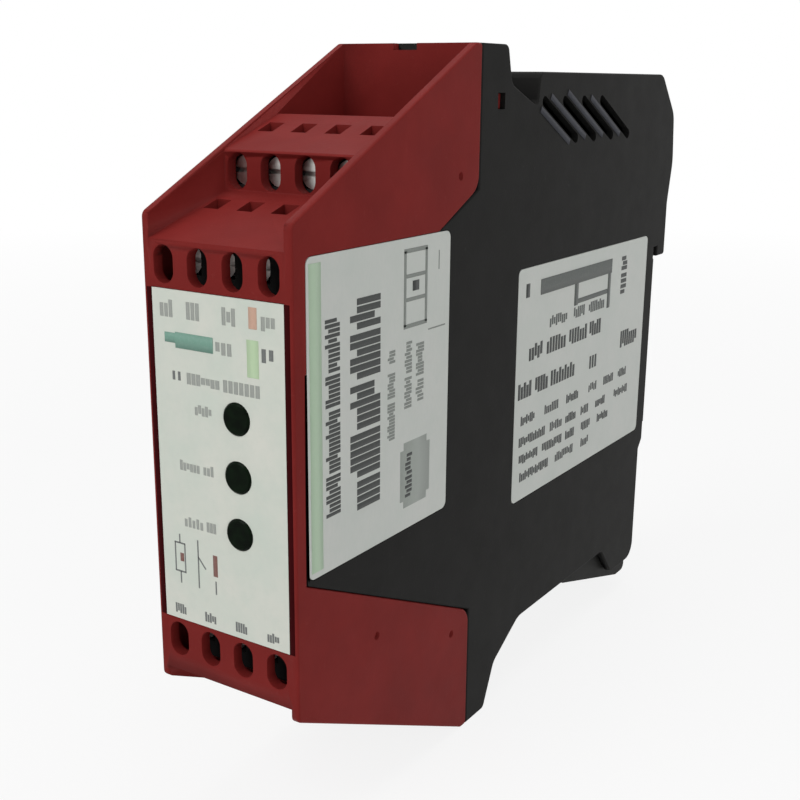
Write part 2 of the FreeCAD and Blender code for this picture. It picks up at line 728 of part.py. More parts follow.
def make_latch():
    """Sliding foot with a claw behind the rail, a spring arm and a screwdriver slot."""
    y0, y1 = LATCH_STEM
    claw_y = SEAT_Y + RAIL_SHEET + RAIL_PLAY
    back_y = SEAT_Y + CLAW_BACK - 0.4
    stem_top = ARM_Z + ARM_THICK
    upper_slope, lower_slope, heel = [rail_foot - drop for drop in LATCH_TAPER]
    foot_top = REAR_BOTTOM - FOOT_GAP
    points = [
        (y0, stem_top),
        (claw_y, stem_top),
        (claw_y, rail_foot + CLAW_LAP),
        (claw_y + 1.0, rail_foot + CLAW_LAP, 0.3),
        (back_y, upper_slope, 1.0),
        (back_y, lower_slope, 1.0),
        (y1, heel, 1.0),
        (y1, foot_top - 1.0),
        (y0, foot_top - 1.0),
    ]
    stem = plate(points, -LATCH_HALF, LATCH_HALF)
    tip, low = LATCH_FOOT
    profile = [
        (tip[0], foot_top, 0.3),
        (y1, foot_top),
        (y1, low[1], 1.2),
        (*low, 1.2),
        (*tip, 0.3),
    ]
    foot = plate(profile, -inner + FOOT_PLAY, inner - FOOT_PLAY)
    arm = box(-ARM_HALF, ARM_HALF, arm_front(), y0, ARM_Z, stem_top)
    slot = box(-ARM_HALF, ARM_HALF, *FOOT_SLOT, low[1], foot_top + 1)
    return remove(join([stem, foot, arm]), [slot])


def make_spring():
    """Compression spring of flat wire, between the housing's ledge and the latch's arm."""
    radius = (SPRING_OUTER - SPRING_WIRE) / 2
    length = SPRING_LENGTH - SPRING_WIRE
    helix = Part.makeHelix(length / SPRING_TURNS, length, radius)
    h = SPRING_WIRE / 2
    section = Part.makePolygon([Vector(radius + x * h, 0, z * h)
                                for x, z in ((-1, -1), (1, -1), (1, 1), (-1, 1), (-1, -1))])
    coil = Part.Wire(helix.Edges).makePipeShell([section], True, True)
    coil.translate(Vector(0, spring_y, ARM_Z - SPRING_LENGTH + SPRING_WIRE / 2))
    return coil


def main():
    os.makedirs("parts", exist_ok=True)
    save("front_hood", make_hood())
    save("rear_housing", make_housing())
    save("front_label", make_front_label())
    save("side_label", plate(SIDE_LABEL, half - LABEL, half))
    save("rating_label", plate(REAR_LABEL, half - LABEL, half))
    for i, name in ((1, "upper"), (0, "middle"), (-1, "lower")):
        save(name + "_indicator_lens", make_lens(i))
        save(name + "_indicator_led", make_led(i))
    for row, (head_y, z) in ROWS.items():
        ceiling = ceiling_1_z if row == "front" else ceiling_2_z
        pieces = {
            "terminal_screws": make_screws(head_y, z),
            "clamp_cages": make_cages(head_y, z, BOARD_FRONT - BOARD),
        }
        for piece, shape in pieces.items():
            save("upper_" + row + "_" + piece, shape)
            save("lower_" + row + "_" + piece, flip(shape))
        block = make_block(head_y, z, ceiling, "upper")
        save("upper_" + row + "_terminal_block", block)
        block = make_block(head_y, z, ceiling, "lower")
        save("lower_" + row + "_terminal_block", flip(block))
    save("upper_terminal_board", make_terminal_board())
    save("lower_terminal_board", flip(make_terminal_board()))
    save("main_board", make_main_board())
    save("panel_board", make_panel_board())
    for end, name in ((1, "upper"), (-1, "lower")):
        header = make_header()
        save(name + "_board_header", header if end > 0 else flip(header))
        save(name + "_relay", make_relay(end))
        save(name + "_channel_chip", make_chip(end))
    save("transformer_core", make_core())
    save("transformer_coil", make_coil())
    for name, sizes in CAPACITORS.items():
        save(name + "_capacitor", make_capacitor(*sizes))
    save("surge_absorber", make_absorber())
    fuse_height, y0, y1, z0, z1 = FUSE
    save("fuse", box(face_x, face_x + fuse_height, y0, y1, z0, z1))
    save("rail_latch", make_latch())
    save("latch_spring", make_spring())


main()
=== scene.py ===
"""Dressed model of a slim safety relay that clips on a 35 mm mounting rail.

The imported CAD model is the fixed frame: X runs across the width, Y runs back to the rail, Z runs
up, and the origin is the middle of the rail seat. All lengths here are in metres.
"""
import logging
import math
import random
from collections.abc import Iterable
from dataclasses import dataclass, field
from enum import Enum

import bmesh
import bpy
from bpy.types import Material, Mesh, Node, NodeSocket, NodeTree, Object
from mathutils import Matrix, Vector


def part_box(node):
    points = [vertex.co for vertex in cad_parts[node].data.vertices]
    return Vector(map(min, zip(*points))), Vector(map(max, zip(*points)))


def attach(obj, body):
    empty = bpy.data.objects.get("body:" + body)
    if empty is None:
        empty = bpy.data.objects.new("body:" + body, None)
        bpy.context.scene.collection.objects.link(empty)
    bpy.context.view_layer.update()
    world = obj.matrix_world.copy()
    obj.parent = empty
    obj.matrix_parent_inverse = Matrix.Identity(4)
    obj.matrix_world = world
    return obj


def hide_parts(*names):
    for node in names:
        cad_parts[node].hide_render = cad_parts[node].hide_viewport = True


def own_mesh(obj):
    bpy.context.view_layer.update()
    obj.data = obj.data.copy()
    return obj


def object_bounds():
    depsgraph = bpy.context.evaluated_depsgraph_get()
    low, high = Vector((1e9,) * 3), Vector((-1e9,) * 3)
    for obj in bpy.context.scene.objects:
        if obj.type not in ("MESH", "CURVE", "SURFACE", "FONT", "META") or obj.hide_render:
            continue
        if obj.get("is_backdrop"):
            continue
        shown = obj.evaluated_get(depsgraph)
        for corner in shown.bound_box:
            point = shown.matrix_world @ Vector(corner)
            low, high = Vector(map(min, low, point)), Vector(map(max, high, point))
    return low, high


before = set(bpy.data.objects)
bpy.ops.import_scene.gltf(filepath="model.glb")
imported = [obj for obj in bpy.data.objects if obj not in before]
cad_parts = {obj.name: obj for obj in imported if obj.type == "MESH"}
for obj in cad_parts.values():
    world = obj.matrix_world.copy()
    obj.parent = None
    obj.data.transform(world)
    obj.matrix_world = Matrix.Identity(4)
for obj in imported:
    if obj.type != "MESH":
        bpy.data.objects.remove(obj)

log = logging.getLogger("safety_relay")

MM = 0.001
Colour = tuple[float, float, float]
Point = tuple[float, float, float]
Spot = tuple[float, float]
Zone = tuple[float, float, float, float]
Stroke = tuple[Point, Point, float]
Bar = tuple[Spot, Spot, float]
Bars = tuple[Bar, ...]

# Where the drawing's front panel and mid-height lie in the frame.
PANEL_Y = -107.5 * MM
MID_Z = 2.0 * MM
HALF_WIDTH = 11.25 * MM

# Points of a copied CAD mesh that lie nearer than this are one point.
MERGE_REACH = 0.001 * MM
# Distance from one band of a wave texture to the next, at scale 1.
WAVE_PERIOD = 0.314
WHITE = (1.0, 1.0, 1.0, 1.0)


class Body(Enum):
    """The two bodies that move against each other."""

    CASE = "case"
    LATCH = "latch"


class Plane(Enum):
    """The faces of the relay that carry print."""

    FRONT = "front"
    RIGHT = "right"


# ---- node trees ---------------------------------------------------------------------------------

class Bench:
    """A material under construction, with short calls to add and join its nodes."""

    def __init__(self, name: str) -> None:
        """Starts a material with a bare shader.

        Args:
            name: The finish's name.
        """
        self.material = bpy.data.materials.new(name)
        self.material.use_nodes = True
        self.tree = self.material.node_tree
        self.tree.nodes.clear()
        self.output = self.add("ShaderNodeOutputMaterial")
        self.shader = self.add("ShaderNodeBsdfPrincipled")
        self.join(self.shader.outputs["BSDF"], self.output.inputs["Surface"])
        self.position = self.add("ShaderNodeTexCoord").outputs["Object"]

    def add(self, kind: str, **settings: object) -> Node:
        """Adds a node.

        Args:
            kind: The node's type.
            **settings: Properties to set on it.

        Returns:
            The new node.
        """
        node = self.tree.nodes.new(kind)
        for key, value in settings.items():
            setattr(node, key, value)
        return node

    def join(self, source: NodeSocket, target: NodeSocket) -> None:
        """Links an output to an input."""
        self.tree.links.new(source, target)

    def feed(self, value: object, target: NodeSocket) -> None:
        """Links a socket or sets a plain value.

        Args:
            value: A socket, a number or a colour.
            target: The input that takes it.
        """
        if isinstance(value, NodeSocket):
            self.join(value, target)
        elif isinstance(value, tuple) and len(value) == 3 and target.type == "RGBA":
            target.default_value = (*value, 1.0)
        else:
            target.default_value = value

    def set(self, **values: object) -> None:
        """Feeds values or sockets to the shader's own inputs, by name with _ for a space."""
        for key, value in values.items():
            self.feed(value, self.shader.inputs[key.replace("_", " ")])

    def stretched(self, scale: Point, turn: Point = (0, 0, 0)) -> NodeSocket:
        """Object coordinates, stretched and turned.

        Args:
            scale: Scale along each axis.
            turn: Rotation in radians.

        Returns:
            The vector's socket.
        """
        node = self.add("ShaderNodeMapping")
        self.join(self.position, node.inputs["Vector"])
        node.inputs["Scale"].default_value = scale
        node.inputs["Rotation"].default_value = turn
        return node.outputs["Vector"]

    def noise(self, size: float, detail: float = 2.0, rough: float = 0.5,
              vector: NodeSocket | None = None) -> NodeSocket:
        """Noise whose blotches are about a given size.

        Args:
            size: Size of a blotch in metres, or in the vector's own units.
            detail: Number of finer layers.
            rough: Weight of the finer layers.
            vector: Coordinates to use in place of the object's.

        Returns:
            The factor's socket.
        """
        node = self.add("ShaderNodeTexNoise")
        self.join(vector or self.position, node.inputs["Vector"])
        node.inputs["Scale"].default_value = 1.0 / size
        node.inputs["Detail"].default_value = detail
        node.inputs["Roughness"].default_value = rough
        return node.outputs["Fac"]

    def cells(self, size: float) -> NodeSocket:
        """Distance to the nearest cell centre, for a spark-eroded grain."""
        node = self.add("ShaderNodeTexVoronoi")
        self.join(self.position, node.inputs["Vector"])
        node.inputs["Scale"].default_value = 1.0 / size
        return node.outputs["Distance"]

    def wave(self, direction: str, period: float, distortion: float) -> NodeSocket:
        """Saw-tooth bands, such as stacked sheets or overlaps.

        Args:
            direction: The axis that they step along.
            period: Distance from one band to the next, in metres.
            distortion: How far the bands waver.

        Returns:
            The factor's socket.
        """
        node = self.add("ShaderNodeTexWave", bands_direction=direction, wave_profile="SAW")
        self.join(self.position, node.inputs["Vector"])
        node.inputs["Scale"].default_value = WAVE_PERIOD / period
        node.inputs["Distortion"].default_value = distortion
        return node.outputs["Fac"]

    def spread(self, value: NodeSocket, low: float, high: float,
               start: float = 0.0, end: float = 1.0) -> NodeSocket:
        """Maps a range of values to another.

        Args:
            value: The value to map.
            low: Result at start.
            high: Result at end.
            start: Lower end of the input range.
            end: Upper end of the input range.

        Returns:
            The mapped value's socket.
        """
        node = self.add("ShaderNodeMapRange")
        self.join(value, node.inputs["Value"])
        node.inputs["From Min"].default_value = start
        node.inputs["From Max"].default_value = end
        node.inputs["To Min"].default_value = low
        node.inputs["To Max"].default_value = high
        return node.outputs["Result"]

    def sum(self, kind: str, a: object, b: object = 0.0) -> NodeSocket:
        """A Math node.

        Args:
            kind: The operation.
            a: First value or socket.
            b: Second value or socket.

        Returns:
            The result's socket.
        """
        node = self.add("ShaderNodeMath", operation=kind)
        self.feed(a, node.inputs[0])
        self.feed(b, node.inputs[1])
        return node.outputs[0]

    def mix(self, factor: object, a: object, b: object) -> NodeSocket:
        """Blends two colours.

        Args:
            factor: Share of b.
            a: First colour or socket.
            b: Second colour or socket.

        Returns:
            The blended colour's socket.
        """
        node = self.add("ShaderNodeMix", data_type="RGBA")
        self.feed(factor, node.inputs[0])
        self.feed(a, node.inputs[6])
        self.feed(b, node.inputs[7])
        return node.outputs[2]

    def axis(self, name: str) -> NodeSocket:
        """One object coordinate, in metres."""
        node = self.add("ShaderNodeSeparateXYZ")
        self.join(self.position, node.inputs[0])
        return node.outputs[name]

    def between(self, value: NodeSocket, low: float, high: float) -> NodeSocket:
        """1 where a value lies between two limits, and 0 elsewhere."""
        above = self.sum("GREATER_THAN", value, low)
        below = self.sum("LESS_THAN", value, high)
        return self.sum("MULTIPLY", above, below)

    def emboss(self, height: NodeSocket, depth: float, strength: float = 1.0,
               under: NodeSocket | None = None) -> NodeSocket:
        """A bump layer.

        Args:
            height: Height from 0 to 1.
            depth: Its real depth in metres.
            strength: How strongly it shows.
            under: Normal of the layer beneath.

        Returns:
            The normal's socket.
        """
        node = self.add("ShaderNodeBump")
        node.inputs["Strength"].default_value = strength
        node.inputs["Distance"].default_value = depth
        self.join(height, node.inputs["Height"])
        if under:
            self.join(under, node.inputs["Normal"])
        self.join(node.outputs["Normal"], self.shader.inputs["Normal"])
        return node.outputs["Normal"]


def background_rays(tree: NodeTree) -> NodeSocket:
    """1 for the rays that see the white background: camera, glossy and transmission rays."""
    rays = tree.nodes.new("ShaderNodeLightPath")
    seen = rays.outputs["Is Camera Ray"]
    for other in ("Is Glossy Ray", "Is Transmission Ray"):
        either = tree.nodes.new("ShaderNodeMath")
        either.operation = "MAXIMUM"
        tree.links.new(seen, either.inputs[0])
        tree.links.new(rays.outputs[other], either.inputs[1])
        seen = either.outputs[0]
    return seen


# ---- finishes -----------------------------------------------------------------------------------

def scaled(colour: Colour, factor: float) -> Colour:
    """A colour made darker or lighter by a factor, up to full brightness."""
    return tuple(min(1.0, c * factor) for c in colour)


@dataclass(frozen=True)
class Finish:
    """A named finish in its main colour, whose nodes the kinds below lay."""

    name: str
    colour: Colour

    def make(self) -> Material:
        """Builds the material."""
        bench = Bench(self.name)
        self.lay(bench)
        return bench.material

    def lay(self, b: Bench) -> None:
        """Lays the finish's nodes.

        Args:
            b: The material under construction.
        """
        raise NotImplementedError


@dataclass(frozen=True)
class MouldedPlastic(Finish):
    """Moulded plastic: sparked grain, faint clouds and flow marks, and paler worn patches from
    handling, which on the vent ribs are heavy enough to be painted highlight.
    """

    rough: float = 0.45
    grain: float = 0.32 * MM
    depth: float = 0.012 * MM
    clouding: float = 0.10
    rub_and_highlight_colour: Colour = (0.5, 0.5, 0.5)
    rub_and_highlight: float = 0.03
    gloss: float = 0.04

    def lay(self, b: Bench) -> None:
        """Lays the nodes."""
        shade = scaled(self.colour, 1 - self.clouding)
        light = scaled(self.colour, 1 + self.clouding)
        cloud = b.noise(9 * MM, detail=3, rough=0.6)
        tone = b.mix(b.spread(cloud, 0, 1, start=0.3, end=0.7), shade, light)
        flow = b.noise(1.0, detail=2, rough=0.5, vector=b.stretched((60, 420, 420)))
        tone = b.mix(b.spread(flow, 0, 0.25, start=0.35, end=0.75), tone, shade)
        # Paler patches: worn spots on most mouldings, painted highlight on the vent ribs.
        rub_and_highlight_patches = b.noise(0.9 * MM, detail=5, rough=0.7)
        rub_and_highlight = b.spread(rub_and_highlight_patches, 0, self.rub_and_highlight, start=0.62, end=0.82)
        b.set(Base_Color=b.mix(rub_and_highlight, tone, self.rub_and_highlight_colour))
        sheen = b.noise(3.5 * MM, detail=4, rough=0.6)
        b.set(Roughness=b.spread(sheen, self.rough - 0.06, self.rough + 0.07))
        grain = b.sum("ADD", b.cells(self.grain), b.noise(self.grain * 0.6, detail=2, rough=0.5))
        fine = b.emboss(grain, self.depth, strength=0.55)
        b.emboss(b.noise(14 * MM, detail=1, rough=0.4), 0.10 * MM, strength=0.25, under=fine)
        b.set(IOR=1.5, Specular_IOR_Level=self.gloss)


@dataclass(frozen=True)
class PrintedFilm(Finish):
    """Polyester label film: satin, with a fine grain and a slightly uneven tone."""

    tint: Colour
    rough: float = 0.38

    def lay(self, b: Bench) -> None:
        """Lays the nodes."""
        wide = b.spread(b.noise(7 * MM, detail=3, rough=0.6), 0, 1, start=0.3, end=0.7)
        tone = b.mix(wide, self.colour, self.tint)
        fibre = b.noise(1.0, detail=3, rough=0.6, vector=b.stretched((900, 2600, 900)))
        tone = b.mix(b.spread(fibre, 0, 0.35, start=0.45, end=0.8), tone,
                     scaled(self.colour, 0.93))
        b.set(Base_Color=tone)
        sheen = b.noise(2.5 * MM, detail=3)
        b.set(Roughness=b.spread(sheen, self.rough - 0.05, self.rough + 0.08))
        skin = b.emboss(b.noise(0.28 * MM, detail=3, rough=0.6), 0.006 * MM, strength=0.5)
        b.emboss(b.noise(5 * MM, detail=1), 0.05 * MM, strength=0.35, under=skin)
        b.set(IOR=1.47)


@dataclass(frozen=True)
class Ink(Finish):
    """Printed ink: uneven cover that wears thin in patches."""

    worn: Colour
    cover: float = 0.85

    def lay(self, b: Bench) -> None:
        """Lays the nodes."""
        patch = b.noise(0.45 * MM, detail=4, rough=0.7)
        thin = b.spread(patch, 0, 1 - self.cover + 0.25, start=0.5, end=0.8)
        b.set(Base_Color=b.mix(thin, self.colour, self.worn))
        b.set(Roughness=b.spread(patch, 0.42, 0.58))
        b.emboss(b.noise(0.2 * MM, detail=2), 0.004 * MM, strength=0.4)


@dataclass(frozen=True)
class LensPlastic(Finish):
    """Unlit tinted lens: a deep, slightly cloudy colour under a glossy skin."""

    centre: Colour
    rough: float = 0.16

    def lay(self, b: Bench) -> None:
        """Lays the nodes."""
        depth = b.spread(b.noise(1.2 * MM, detail=2), 0, 1, start=0.35, end=0.7)
        b.set(Base_Color=b.mix(depth, self.colour, self.centre))
        b.set(Roughness=b.spread(b.noise(0.5 * MM, detail=3), self.rough, self.rough + 0.1))
        b.emboss(b.noise(0.3 * MM, detail=2), 0.006 * MM, strength=0.4)
        b.set(Specular_IOR_Level=0.04)


@dataclass(frozen=True)
class PlatedSteel(Finish):
    """Plated steel: drawn or turned marks, a slightly cloudy skin and dull patches."""

    dull: Colour
    rough: float = 0.32
    marks: Point = (2500, 9000, 2500)

    def lay(self, b: Bench) -> None:
        """Lays the nodes."""
        cloud = b.spread(b.noise(1.8 * MM, detail=4, rough=0.6), 0, 1, start=0.35, end=0.7)
        b.set(Base_Color=b.mix(cloud, self.colour, self.dull))
        drawn = b.noise(1.0, detail=2, rough=0.5, vector=b.stretched(self.marks))
        b.set(Roughness=b.spread(drawn, self.rough - 0.08, self.rough + 0.14))
        b.emboss(drawn, 0.01 * MM, strength=0.45)
        b.set(Metallic=1.0)


@dataclass(frozen=True)
class Laminations(Finish):
    """Stacked core sheets, edge on: fine steps and some brown bloom."""

    bloom: Colour
    sheet: float = 0.5 * MM

    def lay(self, b: Bench) -> None:
        """Lays the nodes."""
        steps = b.wave("X", self.sheet, 0.15)
        bloom = b.spread(b.noise(2.5 * MM, detail=4, rough=0.7), 0, 0.8, start=0.45, end=0.75)
        b.set(Base_Color=b.mix(bloom, self.colour, self.bloom))
        b.set(Roughness=b.spread(steps, 0.38, 0.6))
        b.emboss(steps, 0.06 * MM, strength=0.6)
        b.set(Metallic=0.7)


@dataclass(frozen=True)
class WoundTape(Finish):
    """Layers of insulating tape round the coil, with overlaps and a soft sheen."""

    edge: Colour
    width: float = 3.2 * MM

    def lay(self, b: Bench) -> None:
        """Lays the nodes."""
        turns = b.wave("Y", self.width, 0.4)
        lap = b.spread(turns, 0, 0.7, start=0.85, end=1.0)
        b.set(Base_Color=b.mix(lap, self.colour, self.edge))
        b.set(Roughness=b.spread(b.noise(1.5 * MM, detail=3), 0.28, 0.42))
        b.emboss(turns, 0.08 * MM, strength=0.5)


@dataclass(frozen=True)
class BoardLaminate(Finish):
    """Circuit board: solder mask over raised tracks, with tinned pads."""

    track: Colour
    tin: Colour
    tracks: tuple[tuple[str, float], ...] = (
        ("Scale", 190), ("Mortar Size", 0.022), ("Brick Width", 1.4), ("Row Height", 0.28))
    pad_step: float = 2.2 * MM
    pad_share: float = 0.13

    def lay(self, b: Bench) -> None:
        """Lays the nodes."""
        brick = b.add("ShaderNodeTexBrick")
        b.join(b.stretched((1, 1, 1), (0.0, math.pi / 2, 0.0)), brick.inputs["Vector"])
        for name, value in self.tracks:
            brick.inputs[name].default_value = value
        line = brick.outputs["Fac"]
        pad = b.sum("LESS_THAN", b.cells(self.pad_step), self.pad_share)
        weave = b.noise(0.6 * MM, detail=3, rough=0.6)
        tone = b.mix(b.spread(weave, 0, 0.3), self.colour, scaled(self.colour, 0.7))
        tone = b.mix(line, tone, self.track)
        b.set(Base_Color=b.mix(pad, tone, self.tin))
        b.set(Roughness=b.spread(pad, 0.35, 0.25))
        b.emboss(b.sum("MAXIMUM", line, pad), 0.035 * MM, strength=0.5)


@dataclass(frozen=True)
class LeggedPackage(Finish):
    """A component with a plastic body, and tinned legs outside the body's span in Y."""

    metal: Colour
    body_y: tuple[float, float]

    def lay(self, b: Bench) -> None:
        """Lays the nodes."""
        inside = b.between(b.axis("Y"), *self.body_y)
        leg = b.sum("SUBTRACT", 1.0, inside)
        grit = b.spread(b.noise(0.25 * MM, detail=3), 0, 0.4, start=0.4, end=0.8)
        pale = tuple(c * 1.6 + 0.01 for c in self.colour)
        tone = b.mix(grit, self.colour, pale)
        b.set(Base_Color=b.mix(leg, tone, self.metal))
        b.set(Roughness=b.spread(leg, 0.55, 0.3))
        b.set(Metallic=leg)
        b.emboss(b.noise(0.12 * MM, detail=2), 0.006 * MM, strength=0.5)


@dataclass(frozen=True)
class CanSleeve(Finish):
    """Capacitor in a shrunk sleeve, with a polarity stripe and a bare metal top."""

    stripe: Colour
    metal: Colour
    top_x: float
    stripe_z: tuple[float, float]

    def lay(self, b: Bench) -> None:
        """Lays the nodes."""
        top = b.sum("GREATER_THAN", b.axis("X"), self.top_x)
        band = b.between(b.axis("Z"), *self.stripe_z)
        creases = b.noise(1.0, detail=3, rough=0.6, vector=b.stretched((250, 1600, 1600)))
        tone = b.mix(b.spread(creases, 0, 0.4), self.colour, scaled(self.colour, 0.6))
        tone = b.mix(band, tone, self.stripe)
        b.set(Base_Color=b.mix(top, tone, self.metal))
        b.set(Metallic=top)
        b.set(Roughness=b.spread(creases, 0.24, 0.4))
        b.emboss(creases, 0.03 * MM, strength=0.3)


@dataclass(frozen=True)
class DippedResin(Finish):
    """Dipped resin coat: glossy, slightly lumpy."""

    def lay(self, b: Bench) -> None:
        """Lays the nodes."""
        cloud = b.spread(b.noise(1.5 * MM, detail=3), 0, 0.5, start=0.3, end=0.7)
        b.set(Base_Color=b.mix(cloud, self.colour, scaled(self.colour, 0.65)))
        b.set(Roughness=b.spread(b.noise(0.8 * MM, detail=2), 0.18, 0.3))
        b.emboss(b.noise(1.1 * MM, detail=2), 0.12 * MM, strength=0.4)


@dataclass(frozen=True)
class StageFloor(Finish):
    """Pale floor that looks white to the camera and keeps the relay's shadow."""

    glow: float
    fade: tuple[float, float] = (0.16, 0.60)

    def lay(self, b: Bench) -> None:
        """Lays the nodes."""
        b.set(Base_Color=self.colour, Roughness=0.9)
        white = b.add("ShaderNodeEmission")
        reach = b.add("ShaderNodeVectorMath", operation="LENGTH")
        b.join(b.position, reach.inputs[0])
        glow = b.spread(reach.outputs["Value"], self.glow, 1.0, *self.fade)
        share = b.sum("MULTIPLY", background_rays(b.tree), glow)
        blend = b.add("ShaderNodeMixShader")
        b.join(share, blend.inputs["Fac"])
        b.join(b.shader.outputs["BSDF"], blend.inputs[1])
        b.join(white.outputs["Emission"], blend.inputs[2])
        b.join(blend.outputs["Shader"], b.output.inputs["Surface"])


# ---- geometry nodes -----------------------------------------------------------------------------

def put(name: str, data: bpy.types.ID) -> Object:
    """Puts a new object with the given data into the scene."""
    item = bpy.data.objects.new(name, data)
    bpy.context.scene.collection.objects.link(item)
    return item


class StrokeTree:
    """Geometry nodes that turn loose edges into flat printed strokes of their own width."""

    WIDTH = "half_width"
    # The profile spans both half widths, and its height is the relief.
    PROFILE_WIDTH = 2.0
    RELIEF = 0.1

    def __init__(self) -> None:
        """Builds the tree."""
        self.tree = bpy.data.node_groups.new("printed_strokes", "GeometryNodeTree")
        face = self.tree.interface
        face.new_socket("Geometry", in_out="INPUT", socket_type="NodeSocketGeometry")
        relief = face.new_socket("Relief", in_out="INPUT", socket_type="NodeSocketFloat")
        relief.default_value = self.RELIEF
        face.new_socket("Ink", in_out="INPUT", socket_type="NodeSocketMaterial")
        face.new_socket("Geometry", in_out="OUTPUT", socket_type="NodeSocketGeometry")
        nodes, links = self.tree.nodes, self.tree.links
        start, end = nodes.new("NodeGroupInput"), nodes.new("NodeGroupOutput")
        curve, upright, radius, width, profile, sweep, realize, ink = (
            nodes.new("GeometryNode" + kind) for kind in (
                "MeshToCurve", "SetCurveNormal", "SetCurveRadius", "InputNamedAttribute",
                "CurvePrimitiveQuadrilateral", "CurveToMesh", "RealizeInstances", "SetMaterial"))
        width.data_type = "FLOAT"
        width.inputs["Name"].default_value = self.WIDTH
        profile.inputs["Width"].default_value = self.PROFILE_WIDTH
        sweep.inputs["Fill Caps"].default_value = True
        if "Mode" in upright.inputs:
            upright.inputs["Mode"].default_value = "Z Up"
        else:
            upright.mode = "Z_UP"
        for source, target in (
            (start.outputs["Geometry"], curve.inputs["Mesh"]),
            (curve.outputs["Curve"], upright.inputs["Curve"]),
            (upright.outputs["Curve"], radius.inputs["Curve"]),
            (width.outputs["Attribute"], radius.inputs["Radius"]),
            (radius.outputs["Curve"], sweep.inputs["Curve"]),
            (start.outputs["Relief"], profile.inputs["Height"]),
            (profile.outputs["Curve"], sweep.inputs["Profile Curve"]),
            (sweep.outputs["Mesh"], realize.inputs["Geometry"]),
            (realize.outputs["Geometry"], ink.inputs["Geometry"]),
            (start.outputs["Ink"], ink.inputs["Material"]),
            (ink.outputs["Geometry"], end.inputs["Geometry"]),
        ):
            links.new(source, target)
        if "Scale" in sweep.inputs:
            links.new(width.outputs["Attribute"], sweep.inputs["Scale"])

    def build(self, name: str, strokes: list[Stroke], relief: float, ink: Material) -> Object:
        """Makes one flat mesh of strokes, drawn in the X-Y plane.

        Args:
            name: The piece's name.
            strokes: Start, end and half width of each stroke.
            relief: Thickness as a share of the half width.
            ink: The print's material.

        Returns:
            The piece, with its modifier resolved.
        """
        mesh = bpy.data.meshes.new(name)
        points = [p for stroke in strokes for p in stroke[:2]]
        edges = [(2 * i, 2 * i + 1) for i in range(len(strokes))]
        mesh.from_pydata(points, edges, [])
        widths = mesh.attributes.new(self.WIDTH, "FLOAT", "POINT")
        widths.data.foreach_set("value", [s[2] for s in strokes for _ in (0, 1)])
        carrier = put(name + "_carrier", mesh)
        modifier = carrier.modifiers.new("strokes", "NODES")
        modifier.node_group = self.tree
        values = {"Relief": relief, "Ink": ink}
        for item in self.tree.interface.items_tree:
            if item.in_out == "INPUT" and item.name in values:
                modifier[item.identifier] = values[item.name]
        return resolve(carrier, name)


def resolve(carrier: Object, name: str) -> Object:
    """Turns an object with modifiers into a plain mesh object.

    Args:
        carrier: The object with live modifiers, which is removed.
        name: Name of the new object.

    Returns:
        The plain object.
    """
    view = bpy.context.evaluated_depsgraph_get()
    mesh = bpy.data.meshes.new_from_object(carrier.evaluated_get(view), depsgraph=view)
    bpy.data.objects.remove(carrier)
    mesh.name = name
    return put(name, mesh)


def merged_copy(node: str, name: str) -> tuple[Mesh, bmesh.types.BMesh]:
    """Copies a CAD node's mesh, with the doubles of its loose triangles merged.

    Args:
        node: The node's name.
        name: Name of the copy.

    Returns:
        The copied mesh, and its open form for close() to write back.
    """
    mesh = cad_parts[node].data.copy()
    mesh.name = name
    form = bmesh.new()
    form.from_mesh(mesh)
    bmesh.ops.remove_doubles(form, verts=form.verts, dist=MERGE_REACH)
    return mesh, form


def close(form: bmesh.types.BMesh, mesh: Mesh, material: Material) -> None:
    """Writes a form back to its mesh, and gives the mesh its only material."""
    form.to_mesh(mesh)
    form.free()
    mesh.materials.clear()
    mesh.materials.append(material)


def dress(material: Material, *nodes: str) -> None:
    """Gives CAD nodes their finish.

    Args:
        material: The finish.
        *nodes: Names of the nodes.
    """
    for name in nodes:
        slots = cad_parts[name].data.materials
        slots.clear()
        slots.append(material)
        log.info("dressed %s in %s", name, material.name)


# ---- shells -------------------------------------------------------------------------------------

